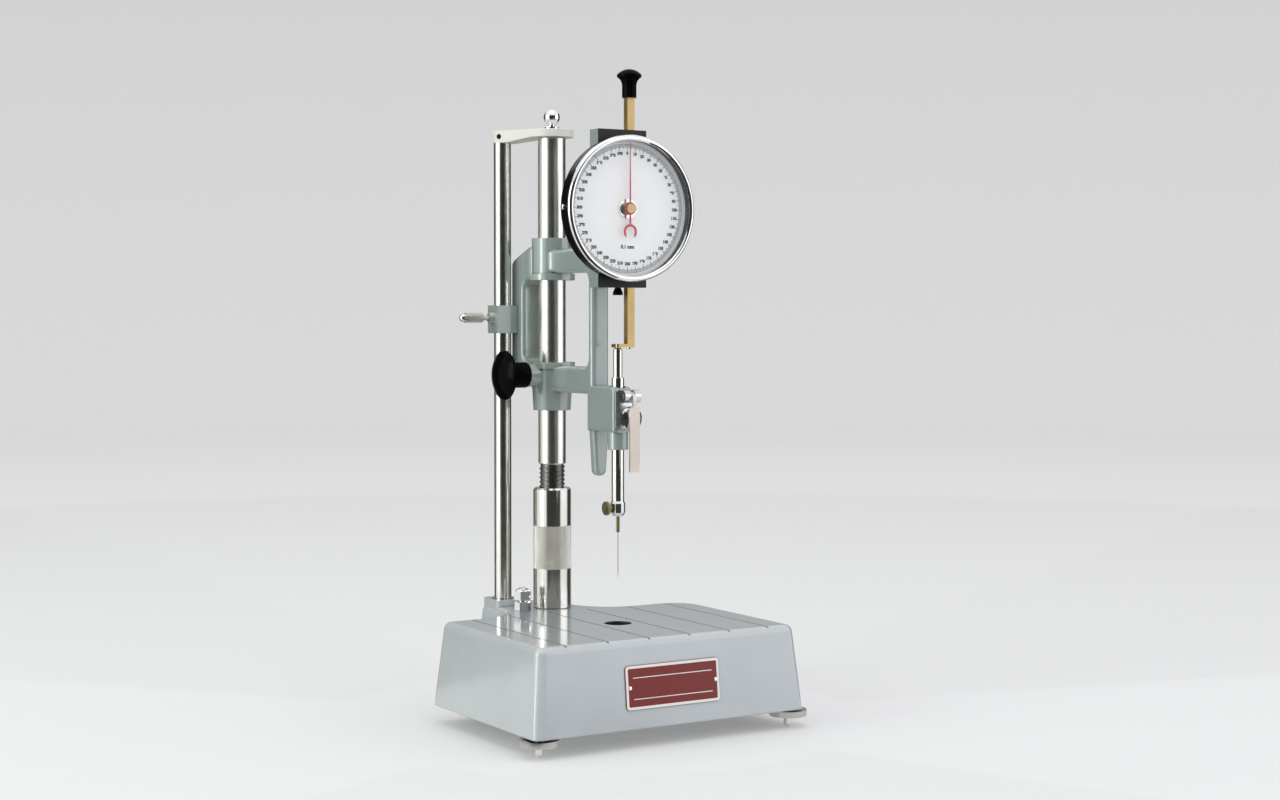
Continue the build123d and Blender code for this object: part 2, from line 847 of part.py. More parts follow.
upper_arm_low = head + upper_arm_rise
lower_arm_low = head + lower_arm_rise
bar_y = column_y - bar_front
arm_rounding = min(arm_edge, 0.47 * bar_thickness)
with BuildPart() as front_frame:
    with BuildSketch(side_view) as frame_face:
        with BuildLine():
            Polyline(
                (column_y, upper_arm_low + upper_arm_height),
                (bar_y, upper_arm_low + upper_arm_height),
                (bar_y, lower_arm_low),
                (column_y, lower_arm_low),
                (column_y, lower_arm_low + lower_arm_height),
                (bar_y + bar_thickness, lower_arm_low + lower_arm_height),
                (bar_y + bar_thickness, upper_arm_low),
                (column_y, upper_arm_low),
                close=True,
            )
        make_face()
        inner = frame_face.vertices().filter_by(lambda v: abs(v.X - bar_y - bar_thickness) < 0.01)
        fillet(inner, frame_corner)
    extrude(amount=arm_half, both=True)
    fillet(front_frame.faces().filter_by(Axis.X).edges(), arm_rounding)

# Hollow rounds that lead from each boss into its arm
arm_roots = (
    (upper_arm_low, upper_arm_height, upper_boss_radius),
    (lower_arm_low, lower_arm_height, lower_boss_foot),
)
flare_side = arm_half - flare_sink
flare_middle_x = flare_side + arm_flare
with BuildPart() as arm_flares:
    for low, height, boss_radius in arm_roots:
        flare_boss = boss_radius - flare_sink
        flare_reach = flare_boss + arm_flare
        flare_middle_y = -sqrt(flare_reach**2 - flare_middle_x**2)
        on_arm = (flare_side, column_y + flare_middle_y)
        on_boss = (
            flare_middle_x * flare_boss / flare_reach,
            column_y + flare_middle_y * flare_boss / flare_reach,
        )
        with BuildSketch(Plane.XY.offset(low + flare_sink)):
            with BuildLine():
                Polyline((0, on_boss[1]), (0, on_arm[1]), on_arm)
                TangentArc(on_arm, on_boss, tangent=(0, 1))
                Line(on_boss, (0, on_boss[1]))
            make_face()
            mirror(about=Plane.YZ)
        extrude(amount=height - 2 * flare_sink)
    curved = arm_flares.edges().filter_by(GeomType.CIRCLE)
    fillet(curved, arm_rounding)

block_low = head + block_rise
block_back_y = bar_y + bar_thickness
with BuildPart() as plunger_block:
    with BuildSketch(side_view) as block_face:
        with BuildLine():
            Polyline(
                (block_back_y, block_low),
                (block_front_y, block_low),
                (block_front_y, block_low + block_height),
                (block_back_y, block_low + block_height),
                close=True,
            )
        make_face()
        fillet(block_face.vertices().group_by(Axis.Y)[-1].sort_by(Axis.X)[0], block_corner)
    extrude(amount=block_half, both=True)
    fillet(plunger_block.faces().filter_by(Axis.X).edges(), block_edge)

rest_y = bar_y + bar_thickness
with BuildPart() as finger_rest:
    with BuildSketch(Plane.XZ.offset(-rest_y)) as rest_face:
        with BuildLine():
            Polyline(
                (-rest_half, block_low + rest_root),
                (-rest_tip_half, block_low - rest_length),
                (rest_tip_half, block_low - rest_length),
                (rest_half, block_low + rest_root),
                close=True,
            )
        make_face()
        fillet(rest_face.vertices().group_by(Axis.Y)[0], rest_tip_half * 0.95)
    extrude(amount=rest_thickness)
    fillet(finger_rest.faces().filter_by(Axis.Y).edges(), rest_edge)

guide_low = head + guide_rise
guide_high = guide_low + guide_length
bush_outer = plunger_diameter / 2 + running_gap + plunger_bush_wall
slot_half = clutch_bar_half + running_gap
slot_height = clutch_bar_height + 2 * running_gap
bar_stroke_back = needle_y + plunger_diameter / 2 + running_gap + clutch_wall + clutch_travel + loose_gap
rack_channel = (rack_right - rack_left) + 2 * running_gap
bracket_back_y = needle_y + bracket_back
bracket_face_y = needle_y - bracket_front
bracket_depth = bracket_back + bracket_front
channel_depth = rack_thickness + 2 * running_gap
arbor_bush_radius = arbor_diameter / 2 + running_gap + arbor_bush_wall
arbor_bush_length = bracket_depth - channel_depth - arbor_back_wall
clamp_low = head + clamp_rise
clamp_right = spine_root - spine_half
lip_radius = upper_boss_radius + boss_lip
with BuildPart() as head_casting:
    add(spine.part)
    add(front_frame.part)
    add(arm_flares.part)
    add(plunger_block.part)
    add(finger_rest.part)
    # The two bosses that slide on the column, each with a lip towards the window
    revolve(outline(
        column_plane,
        (0, head),
        (lower_boss_foot, head),
        (lower_boss_radius, lower_top - boss_lip_height),
        (lip_radius, lower_top - boss_lip_height),
        (lip_radius, lower_top),
        (0, lower_top),
    ), axis=column_axis)
    with Locations((0, column_y, upper_bottom)):
        Cylinder(upper_boss_radius, upper_boss_height, align=MIN)
        Cylinder(lip_radius, boss_lip_height, align=MIN)
    # The boss of the clamp knob and the guide of the plunger
    with BuildSketch(facing_left(0, column_y, clamp_z)):
        Circle(clamp_boss_radius)
    extrude(amount=clamp_knob_start)
    with Locations((0, needle_y, guide_low)):
        Cylinder(guide_radius, guide_length, align=MIN)
    # The rack bracket on the upper arm
    with Locations((0, (bar_y + bracket_back_y) / 2, upper_arm_low)):
        Box(2 * arm_half, bar_y - bracket_back_y + 2, upper_arm_height, align=MIN)
    with Locations((0, (bracket_back_y + bracket_face_y) / 2, bracket_bottom)):
        Box(2 * bracket_half, bracket_depth, bracket_height, align=MIN)
    # The rod clamp beside the spine, with a cone for its screw
    with Locations(((clamp_left + clamp_right) / 2, rod_axis_y + (clamp_back - clamp_front) / 2, clamp_low)):
        Box(clamp_right - clamp_left, clamp_front + clamp_back, clamp_height, align=MIN)
    with BuildSketch(facing_left(clamp_left, rod_axis_y, thumb_z)):
        Circle(thumb_shank_diameter / 2 + thumb_boss_wall)
    extrude(amount=thumb_boss_length, taper=thumb_boss_taper)
    # Bores for the column, the rod, the plunger bushes and the clutch bar
    with Locations((0, column_y, head)):
        Cylinder(bore_radius, upper_top - head, align=MIN, mode=Mode.SUBTRACT)
    with Locations((rod_x, rod_axis_y, clamp_low)):
        Cylinder(rod_radius + running_gap, clamp_height, align=MIN, mode=Mode.SUBTRACT)
    with Locations((0, needle_y, guide_low)):
        Cylinder(bush_outer, block_low + block_height - guide_low, align=MIN, mode=Mode.SUBTRACT)
    with Locations((0, (bar_stroke_back + block_front_y) / 2, clutch_z)):
        Box(2 * slot_half, bar_stroke_back - block_front_y, slot_height, mode=Mode.SUBTRACT)
    # Screw holes for the clamp stud and the thumbscrew
    with BuildSketch(facing_left(0, column_y, clamp_z)):
        Circle(clamp_stud_diameter / 2 + running_gap)
    extrude(amount=clamp_knob_start, mode=Mode.SUBTRACT)
    with BuildSketch(facing_left(rod_x, rod_axis_y, thumb_z)):
        Circle(thumb_shank_diameter / 2 + running_gap)
    extrude(amount=clamp_reach + thumb_boss_length, mode=Mode.SUBTRACT)
    # The rack channel, the pinion's pocket and the seat of the arbor's rear bush
    with Locations(((rack_left + rack_right) / 2, bracket_face_y + channel_depth / 2, bracket_bottom)):
        Box(rack_channel, channel_depth, bracket_height, align=MIN, mode=Mode.SUBTRACT)
    with BuildSketch(facing_front(bracket_face_y, dial_z)):
        Circle(pinion_radius + tooth_addendum + loose_gap)
    extrude(amount=-channel_depth, mode=Mode.SUBTRACT)
    with BuildSketch(facing_front(bracket_face_y, dial_z)):
        Circle(arbor_bush_radius)
    extrude(amount=-channel_depth - arbor_bush_length, mode=Mode.SUBTRACT)
    # Holes for the screws of the rack cover and the clutch housing
    with BuildSketch(facing_front(bracket_face_y, dial_z)):
        with Locations(*cover_screw_places):
            Circle(screw_shank)
    extrude(amount=-screw_grip, mode=Mode.SUBTRACT)
    with BuildSketch(facing_front(block_front_y, housing_screw_z)):
        with GridLocations(housing_screw_spacing, 1, 2, 1):
            Circle(screw_shank)
    extrude(amount=-housing_screw_grip, mode=Mode.SUBTRACT)
save(head_casting, "head_casting")

# Clamp knob with its stud and the brass shoe that bears on the column
knob_plane = leftward(column_y, clamp_z)
knob_radius = clamp_knob_diameter / 2
hub_end = clamp_knob_start + clamp_knob_hub
rim_end = hub_end + clamp_knob_rim
crown_end = rim_end + clamp_knob_crown
stud_tip = bore_radius + clamp_shoe_thickness + running_gap
stud_end = hub_end + clamp_stud_hold
clamp_stud_radius = clamp_stud_diameter / 2
with BuildPart() as clamp_knob:
    with BuildSketch(knob_plane) as knob_face:
        with BuildLine():
            Polyline(
                (0, crown_end),
                (0, stud_end),
                (clamp_stud_radius, stud_end),
                (clamp_stud_radius, clamp_knob_start + loose_gap),
                (clamp_knob_neck, clamp_knob_start + loose_gap),
                (clamp_knob_neck, hub_end),
                (knob_radius, hub_end),
                (knob_radius, rim_end),
            )
            RadiusArc((knob_radius, rim_end), (0, crown_end), -cap_radius(knob_radius, clamp_knob_crown))
        make_face()
        fillet(knob_face.vertices().filter_by(lambda v: v.X > clamp_knob_neck - 1), clamp_knob_edge)
    revolve(axis=clamp_axis)
save(clamp_knob, "clamp_knob")

with BuildPart() as clamp_stud:
    revolve(outline(
        knob_plane,
        (0, stud_tip),
        (clamp_stud_radius, stud_tip),
        (clamp_stud_radius, stud_end),
        (0, stud_end),
    ), axis=clamp_axis)
save(clamp_stud, "clamp_stud")

with BuildPart() as clamp_shoe:
    with BuildSketch(facing_left(0, column_y, clamp_z)):
        Circle(clamp_stud_radius)
    extrude(amount=stud_tip - running_gap)
    with Locations((0, column_y, head)):
        Cylinder(bore_radius, lower_boss_height, align=MIN, mode=Mode.SUBTRACT)
save(clamp_shoe, "clamp_shoe")

# Rod thumbscrew: steadies the head on the guide rod
thumb_plane = leftward(rod_axis_y, thumb_z)
thumb_tip = -rod_x + rod_radius + running_gap
thumb_start = -clamp_left + thumb_shank_shown
thumb_shank = thumb_shank_diameter / 2
thumb_radius = thumb_head_diameter / 2
with BuildPart() as rod_thumbscrew:
    revolve(outline(
        thumb_plane, (0, thumb_tip), (thumb_shank, thumb_tip), (thumb_shank, thumb_start), (0, thumb_start),
    ), axis=thumb_axis)
    head_plane = facing_left(-thumb_start, rod_axis_y, thumb_z)
    extrude(fluted_disc(head_plane, thumb_radius, thumb_flutes), amount=thumb_head_length)
    thumb_end = thumb_start + thumb_head_length
    collar_radius = thumb_radius * 0.85
    collar_end = thumb_end + thumb_collar
    crown = (0, collar_end + thumb_crown)
    with BuildSketch(thumb_plane):
        with BuildLine():
            Polyline(crown, (0, thumb_end), (collar_radius, thumb_end), (collar_radius, collar_end))
            RadiusArc((collar_radius, collar_end), crown, -cap_radius(collar_radius, thumb_crown))
        make_face()
    revolve(axis=thumb_axis)
save(rod_thumbscrew, "rod_thumbscrew")

# Rack cover: the dark front plate of the bracket, which the dial case is screwed to
cover_head_height = cover_thickness * 0.7
with BuildPart() as rack_cover:
    with Locations((0, bracket_face_y - cover_thickness / 2, bracket_bottom)):
        Box(2 * bracket_half, cover_thickness, bracket_height, align=MIN)
    with BuildSketch(facing_front(bracket_face_y, dial_z)):
        Circle(arbor_bush_radius)
    extrude(amount=cover_thickness, mode=Mode.SUBTRACT)
    with BuildSketch(facing_front(bracket_face_y, dial_z)):
        with Locations(*cover_screw_places, *case_screw_places):
            Circle(screw_shank)
    extrude(amount=cover_thickness, mode=Mode.SUBTRACT)
    with BuildSketch(facing_front(cover_front_y, dial_z)):
        with Locations(*cover_screw_places):
            Circle(screw_head)
    extrude(amount=-cover_head_height, mode=Mode.SUBTRACT)
save(rack_cover, "rack_cover")

with BuildPart() as cover_screws:
    with BuildSketch(facing_front(cover_front_y, dial_z)):
        with Locations(*cover_screw_places):
            Circle(screw_head)
    extrude(amount=-cover_head_height)
    with BuildSketch(facing_front(cover_front_y, dial_z)):
        with Locations(*cover_screw_places):
            Circle(screw_shank)
    extrude(amount=-cover_thickness - screw_grip)
save(cover_screws, "cover_screws")

# Rack stop: a small black bumper below the bracket, above the rack's foot
with BuildPart() as rack_stop:
    revolve(outline(
        needle_plane,
        (0, bracket_bottom - stop_height),
        (stop_bottom / 2, bracket_bottom - stop_height),
        (stop_bottom / 2, bracket_bottom - stop_height * 0.6),
        (stop_top / 2, bracket_bottom),
        (0, bracket_bottom),
    ), axis=needle_axis)
save(rack_stop, "rack_stop")

# Rack: a brass bar with teeth towards the pinion, a knob on top and a foot on the plunger
rack_middle_x = (rack_left + rack_right) / 2
rack_middle_y = (rack_front_y + rack_back_y) / 2
tooth_first = round((rack_teeth_low - dial_rise) / tooth_pitch) * tooth_pitch + tooth_pitch / 2
with BuildPart() as rack_bar:
    with Locations((rack_middle_x, rack_middle_y, rack_z)):
        Box(rack_width, rack_thickness, rack_length, align=MIN)
    with Locations((rack_middle_x, rack_middle_y, rack_top)):
        Cylinder(rack_tenon / 2, rack_tenon_length, align=MIN)
    with BuildSketch(Plane.XZ.offset(-rack_back_y)):
        for tooth in range(rack_teeth_count):
            with Locations((rack_left, dial_z + tooth_first + tooth * tooth_pitch)):
                Rectangle(2 * tooth_depth, tooth_pitch * 0.62)
    extrude(amount=rack_thickness, mode=Mode.SUBTRACT)
save(rack_bar, "rack_bar")

with BuildPart() as rack_foot:
    foot_back_y = needle_y + stem_diameter / 2
    with Locations(((rack_right - rack_foot_reach) / 2, (rack_front_y + foot_back_y) / 2,
                    rack_z - rack_foot_height)):
        Box(rack_right + rack_foot_reach, foot_back_y - rack_front_y, rack_foot_height, align=MIN)
    fillet(rack_foot.edges().filter_by(Axis.Z).group_by(Axis.X)[0], rack_foot_corner)
save(rack_foot, "rack_foot")

with BuildPart() as rack_foot_screw:
    with Locations((rack_middle_x, rack_middle_y, rack_z - rack_foot_height)):
        Cylinder(foot_screw_diameter / 2, foot_screw_height, align=MAX)
    with Locations((rack_middle_x, rack_middle_y, rack_z - rack_foot_height - foot_screw_height)):
        Box(2 * foot_screw_diameter, foot_screw_slot, foot_screw_height, mode=Mode.SUBTRACT)
save(rack_foot_screw, "rack_foot_screw")

knob_axis = Axis((rack_middle_x, rack_middle_y, 0), (0, 0, 1))
rim_radius = knob_rim / 2
neck_radius = knob_neck / 2
with BuildPart() as rack_knob:
    with BuildSketch(upright(rack_middle_x, rack_middle_y)):
        with BuildLine():
            neck_low = (neck_radius, rack_top)
            neck_high = (neck_radius, rack_top + knob_height * 0.42)
            rim_low = (rim_radius, rack_top + knob_height * 0.72)
            rim_high = (rim_radius, rack_top + knob_height * 0.8)
            Polyline((0, rack_top + rack_tenon_length), (rack_tenon / 2, rack_top + rack_tenon_length),
                     (rack_tenon / 2, rack_top), neck_low, neck_high)
            TangentArc(neck_high, rim_low, tangent=(0, 1))
            Line(rim_low, rim_high)
            RadiusArc(rim_high, (0, rack_top + knob_height), -cap_radius(rim_radius, knob_height * 0.2))
            Line((0, rack_top + knob_height), (0, rack_top + rack_tenon_length))
        make_face()
    revolve(axis=knob_axis)
save(rack_knob, "rack_knob")

# Pinion and arbor: one turn for each full travel of the rack
pinion_back_y = bracket_face_y + channel_depth - loose_gap
case_back_y = cover_front_y
face_back_y = case_back_y - dial_ledge_depth
face_front_y = face_back_y - dial_face_thickness
pointer_back_y = face_front_y - pointer_rise
arbor_front_y = pointer_back_y - pointer_thickness
with BuildPart() as pinion:
    with BuildSketch(facing_front(pinion_back_y, dial_z)):
        Circle(pinion_radius + tooth_addendum)
        with PolarLocations(pinion_radius + tooth_addendum, teeth_per_turn):
            Rectangle(2 * tooth_depth, tooth_pitch * 0.66, mode=Mode.SUBTRACT)
    extrude(amount=pinion_thickness)
    arbor_back_y = bracket_face_y + channel_depth + arbor_bush_length
    with BuildSketch(facing_front(arbor_back_y, dial_z)):
        Circle(arbor_diameter / 2)
    extrude(amount=arbor_back_y - arbor_front_y)
save(pinion, "pinion")

with BuildPart() as arbor_bushes:
    for start_y, length in ((bracket_face_y + channel_depth + arbor_bush_length, arbor_bush_length),
                            (bracket_face_y, cover_thickness)):
        with BuildSketch(facing_front(start_y, dial_z)):
            Circle(arbor_bush_radius)
            Circle(arbor_diameter / 2 + running_gap, mode=Mode.SUBTRACT)
        extrude(amount=length)
save(arbor_bushes, "arbor_bushes")

# Dial: black case, white face, glass and chrome bezel
dial_plane = forward(0, case_back_y, dial_z)
arbor_clear = arbor_diameter / 2 + loose_gap
side_screw_y = case_back_y - dial_case_wall / 2 - dial_ledge_depth / 2
side_screw_seat = -dial_case_radius + side_screw_sink
side_screw_plane = facing_left(side_screw_seat, side_screw_y, dial_z)
with BuildPart() as dial_case:
    revolve(outline(
        dial_plane,
        (arbor_clear, 0),
        (dial_case_radius, 0),
        (dial_case_radius, dial_case_depth),
        (dial_case_radius - dial_case_wall, dial_case_depth),
        (dial_case_radius - dial_case_wall, dial_ledge_depth),
        (dial_case_radius - dial_case_ledge, dial_ledge_depth),
        (dial_case_radius - dial_case_ledge, dial_case_wall),
        (arbor_clear, dial_case_wall),
    ), axis=dial_axis)
    with BuildSketch(facing_front(case_back_y, dial_z)):
        with Locations(*case_screw_places):
            Circle(screw_shank)
    extrude(amount=dial_case_wall, mode=Mode.SUBTRACT)
    with BuildSketch(side_screw_plane):
        Circle(side_screw_diameter / 2)
    extrude(amount=side_screw_height, mode=Mode.SUBTRACT)
    with BuildSketch(side_screw_plane):
        Circle(screw_shank)
    extrude(amount=-dial_case_ledge, mode=Mode.SUBTRACT)
save(dial_case, "dial_case")

with BuildPart() as case_side_screw:
    with BuildSketch(side_screw_plane):
        Circle(side_screw_diameter / 2)
    extrude(amount=side_screw_height)
    fillet(case_side_screw.edges().sort_by(Axis.X)[0], side_screw_round)
    with BuildSketch(side_screw_plane):
        Circle(screw_shank)
    extrude(amount=-dial_case_ledge)
    with Locations((side_screw_seat - side_screw_height, side_screw_y, dial_z)):
        Box(2 * side_screw_slot_depth, side_screw_slot, side_screw_diameter, mode=Mode.SUBTRACT)
save(case_side_screw, "case_side_screw")

with BuildPart() as case_screws:
    with BuildSketch(facing_front(case_back_y - dial_case_wall, dial_z)):
        with Locations(*case_screw_places):
            Circle(screw_head)
    extrude(amount=screw_head_height)
    with BuildSketch(facing_front(case_back_y - dial_case_wall, dial_z)):
        with Locations(*case_screw_places):
            Circle(screw_shank)
    extrude(amount=-dial_case_wall - cover_thickness)
save(case_screws, "case_screws")

with BuildPart() as dial_face:
    with BuildSketch(facing_front(face_back_y, dial_z)):
        Circle(dial_case_radius - dial_case_wall - running_gap)
        Circle(arbor_clear, mode=Mode.SUBTRACT)
    extrude(amount=dial_face_thickness)
save(dial_face, "dial_face")

glass_radius = dial_case_radius - running_gap
glass_front = dial_case_depth + glass_thickness
bezel_radius = dial_case_radius + bezel_wall
bezel_bore = dial_case_radius - bezel_cover
with BuildPart() as dial_glass:
    with BuildSketch(facing_front(case_back_y - dial_case_depth, dial_z)):
        Circle(glass_radius)
    extrude(amount=glass_thickness)
save(dial_glass, "dial_glass")

with BuildPart() as bezel:
    with BuildSketch(dial_plane):
        with BuildLine():
            Polyline(
                (bezel_bore, glass_front + bezel_lip * 0.4),
                (bezel_bore, glass_front),
                (dial_case_radius, glass_front),
                (dial_case_radius, glass_front - glass_thickness - bezel_skirt),
                (bezel_radius, glass_front - glass_thickness - bezel_skirt),
                (bezel_radius, glass_front - bezel_round),
            )
            ThreePointArc(
                (bezel_radius, glass_front - bezel_round),
                ((bezel_radius + bezel_bore) / 2 + bezel_round, glass_front + bezel_lip),
                (bezel_bore, glass_front + bezel_lip * 0.4),
            )
        make_face()
    revolve(axis=dial_axis)
save(bezel, "bezel")

# Pointer: a thin hand with a crescent tail, on a hub that grips the arbor
pointer_plane = facing_front(pointer_back_y, dial_z)
hub_plane = facing_front(face_front_y - loose_gap, dial_z)
arbor_radius = arbor_diameter / 2
hub_radius = hub_diameter / 2
with BuildPart() as pointer:
    with BuildSketch(pointer_plane):
        with BuildLine():
            Polyline((-pointer_width / 2, 0), (-pointer_tip / 2, pointer_length),
                     (pointer_tip / 2, pointer_length), (pointer_width / 2, 0), close=True)
        make_face()
        Circle(hub_ring_diameter / 2)
        with Locations((0, -pointer_tail / 2)):
            Rectangle(pointer_width, pointer_tail * 0.8)
        with Locations((0, -pointer_tail)):
            Circle(tail_radius)
            Circle(tail_radius - tail_ring, mode=Mode.SUBTRACT)
            with Locations((0, tail_ring - tail_radius)):
                Rectangle(tail_mouth, 2.5 * tail_ring, mode=Mode.SUBTRACT)
        Circle(hub_radius, mode=Mode.SUBTRACT)
    extrude(amount=pointer_thickness)
save(pointer, "pointer")

with BuildPart() as hub_plate:
    with BuildSketch(hub_plane):
        Circle(hub_plate_diameter / 2)
        with PolarLocations(hub_plate_diameter / 2, 3):
            Rectangle(hub_slot_length, hub_slot_width, mode=Mode.SUBTRACT)
        Circle(hub_ring_diameter / 2, mode=Mode.SUBTRACT)
    extrude(amount=hub_plate_thickness)
save(hub_plate, "hub_plate")

with BuildPart() as pointer_hub:
    with BuildSketch(hub_plane):
        Circle(hub_ring_diameter / 2)
    extrude(amount=pointer_rise - loose_gap)
    with BuildSketch(pointer_plane):
        Circle(hub_radius)
    extrude(amount=pointer_thickness + hub_reach)
    with BuildSketch(hub_plane):
        Circle(arbor_radius)
    extrude(amount=pointer_rise - loose_gap + pointer_thickness, mode=Mode.SUBTRACT)
save(pointer_hub, "pointer_hub")

# Plunger: slides in two bushes, with the clutch bar between them
plunger_radius = plunger_diameter / 2
stem_radius = stem_diameter / 2
slot_low = clutch_z - slot_height / 2
slot_high = clutch_z + slot_height / 2
with BuildPart() as plunger_bushes:
    for low, high in ((guide_low, slot_low), (slot_high, guide_high)):
        with BuildSketch(Plane.XY.offset(low)):
            with Locations((0, needle_y)):
                Circle(bush_outer)
                Circle(plunger_radius + running_gap, mode=Mode.SUBTRACT)
        extrude(amount=high - low)
save(plunger_bushes, "plunger_bushes")

chuck_radius = chuck_diameter / 2
with BuildPart() as plunger:
    revolve(outline(
        needle_plane,
        (0, plunger_bottom - chuck_grip),
        (stem_radius, plunger_bottom - chuck_grip),
        (stem_radius, plunger_bottom),
        (plunger_radius, plunger_bottom),
        (plunger_radius, plunger_shoulder - plunger_chamfer),
        (plunger_radius - plunger_chamfer, plunger_shoulder),
        (stem_radius, plunger_shoulder),
        (stem_radius, plunger_top - stem_chamfer),
        (stem_radius - stem_chamfer, plunger_top),
        (0, plunger_top),
    ), axis=needle_axis)
save(plunger, "plunger")

ferrule_radius = ferrule_diameter / 2
ferrule_top = chuck_bottom + chuck_height - chuck_grip
ferrule_length = ferrule_shown + ferrule_top - chuck_bottom
chuck_screw_radius = chuck_screw_diameter / 2
chuck_screw_z = (chuck_bottom + chuck_nose + plunger_bottom - chuck_shoulder) / 2
with BuildPart() as chuck:
    with BuildSketch(needle_plane) as chuck_face:
        with BuildLine():
            Polyline(
                (ferrule_radius, chuck_bottom),
                (chuck_radius * 0.7, chuck_bottom),
                (chuck_radius, chuck_bottom + chuck_nose),
                (chuck_radius, plunger_bottom - chuck_shoulder),
                (plunger_radius, plunger_bottom),
                (stem_radius, plunger_bottom),
                (stem_radius, plunger_bottom - chuck_grip),
                (ferrule_radius, plunger_bottom - chuck_grip),
                close=True,
            )
        make_face()
    revolve(axis=needle_axis)
    with BuildSketch(facing_left(0, needle_y, chuck_screw_z)):
        Circle(chuck_screw_radius + running_gap)
    extrude(amount=chuck_diameter, mode=Mode.SUBTRACT)
save(chuck, "chuck")

with BuildPart() as chuck_thumbscrew:
    chuck_screw_plane = facing_left(-ferrule_radius - running_gap, needle_y, chuck_screw_z)
    with BuildSketch(chuck_screw_plane):
        Circle(chuck_screw_radius)
    extrude(amount=chuck_disc_reach - ferrule_radius)
    disc_plane = facing_left(chuck_disc_thickness - chuck_disc_reach, needle_y, chuck_screw_z)
    extrude(fluted_disc(disc_plane, chuck_disc_diameter / 2, chuck_disc_flutes), amount=chuck_disc_thickness)
    with BuildSketch(disc_plane.offset(chuck_disc_thickness)):
        Circle(chuck_disc_boss / 2)
    extrude(amount=chuck_disc_boss_height)
save(chuck_thumbscrew, "chuck_thumbscrew")

with BuildPart() as needle_ferrule:
    revolve(outline(
        needle_plane,
        (needle_diameter / 2, ferrule_bottom),
        (ferrule_radius - ferrule_chamfer, ferrule_bottom),
        (ferrule_radius, ferrule_bottom + ferrule_chamfer),
        (ferrule_radius, ferrule_bottom + ferrule_length),
        (0, ferrule_bottom + ferrule_length),
        (0, ferrule_bottom + ferrule_grip),
        (needle_diameter / 2, ferrule_bottom + ferrule_grip),
    ), axis=needle_axis)
save(needle_ferrule, "needle_ferrule")

with BuildPart() as needle:
    revolve(outline(
        needle_plane,
        (0, needle_tip),
        (needle_flat / 2, needle_tip),
        (needle_diameter / 2, needle_tip + needle_cone),
        (needle_diameter / 2, ferrule_bottom + ferrule_grip),
        (0, ferrule_bottom + ferrule_grip),
    ), axis=needle_axis)
save(needle, "needle")

# Clutch: a bar whose eye grips the plunger from behind until the button pushes it back
stem_bore = button_stem / 2 + running_gap
spring_radius = stem_bore + spring_wall
spring_depth = housing_depth * 0.55
eye_half = plunger_radius + loose_gap
eye_back_y = needle_y + plunger_radius + running_gap
eye_front_y = needle_y - plunger_radius - clutch_travel - loose_gap
bar_back_y = eye_back_y + clutch_wall
bar_front_y = eye_front_y - clutch_wall * 0.8
pin_seat = lever_pin_diameter / 2 + running_gap
ear_inner = lever_neck / 2 + loose_gap
button_back_y = housing_front_y - button_gap
housing_screw_plane = facing_front(housing_front_y, housing_screw_z)
with BuildPart() as clutch_housing:
    with Locations((0, housing_front_y + housing_depth / 2, clutch_z - housing_bottom)):
        Box(2 * housing_half, housing_depth, housing_bottom + housing_top, align=MIN)
    fillet(clutch_housing.edges().filter_by(Axis.Y), housing_corner)
    for side in (-1, 1):
        ear_middle = side * (ear_inner + housing_half) / 2
        with BuildSketch(Plane.YZ.offset(ear_middle)):
            with Locations((lever_pin_y, lever_pin_z)):
                Circle(ear_radius)
            with Locations((lever_pin_y + (lever_pin_front + ear_root) / 2, lever_pin_z)):
                Rectangle(lever_pin_front + ear_root, 2 * ear_radius)
        extrude(amount=(housing_half - ear_inner) / 2, both=True)
    with BuildSketch(facing_front(housing_front_y, clutch_z)):
        Circle(stem_bore)
    extrude(amount=-housing_depth, mode=Mode.SUBTRACT)
    with BuildSketch(facing_front(housing_front_y, clutch_z)):
        Circle(spring_radius + running_gap)
    extrude(amount=-spring_depth, mode=Mode.SUBTRACT)
    with Locations((0, (block_front_y + bar_front_y - loose_gap) / 2, clutch_z)):
        Box(2 * slot_half, block_front_y - bar_front_y + loose_gap, slot_height, mode=Mode.SUBTRACT)
    with BuildSketch(facing_left(0, lever_pin_y, lever_pin_z)):
        Circle(lever_pin_diameter / 2)
    extrude(amount=housing_half, both=True, mode=Mode.SUBTRACT)
    with BuildSketch(facing_left(0, lever_pin_y, lever_pin_z)):
        Circle(lever_knuckle + loose_gap)
    extrude(amount=ear_inner, both=True, mode=Mode.SUBTRACT)
    with BuildSketch(housing_screw_plane):
        with GridLocations(housing_screw_spacing, 1, 2, 1):
            Circle(screw_shank)
    extrude(amount=-housing_depth, mode=Mode.SUBTRACT)
    with BuildSketch(housing_screw_plane):
        with GridLocations(housing_screw_spacing, 1, 2, 1):
            Circle(screw_head)
    extrude(amount=-screw_head_height, mode=Mode.SUBTRACT)
save(clutch_housing, "clutch_housing")

with BuildPart() as housing_screws:
    with BuildSketch(housing_screw_plane):
        with GridLocations(housing_screw_spacing, 1, 2, 1):
            Circle(screw_head)
    extrude(amount=-screw_head_height)
    with BuildSketch(housing_screw_plane):
        with GridLocations(housing_screw_spacing, 1, 2, 1):
            Circle(screw_shank)
    extrude(amount=-housing_depth - housing_screw_grip)
save(housing_screws, "housing_screws")

with BuildPart() as clutch_bar:
    with Locations((0, (bar_back_y + bar_front_y) / 2, clutch_z)):
        Box(2 * clutch_bar_half, bar_back_y - bar_front_y, clutch_bar_height)
    with Locations((0, (eye_back_y + eye_front_y) / 2, clutch_z)):
        Box(2 * eye_half, eye_back_y - eye_front_y, clutch_bar_height, mode=Mode.SUBTRACT)
    with BuildSketch(facing_front(bar_front_y, clutch_z)):
        Circle(button_stem / 2)
    extrude(amount=bar_front_y - button_back_y)
save(clutch_bar, "clutch_bar")

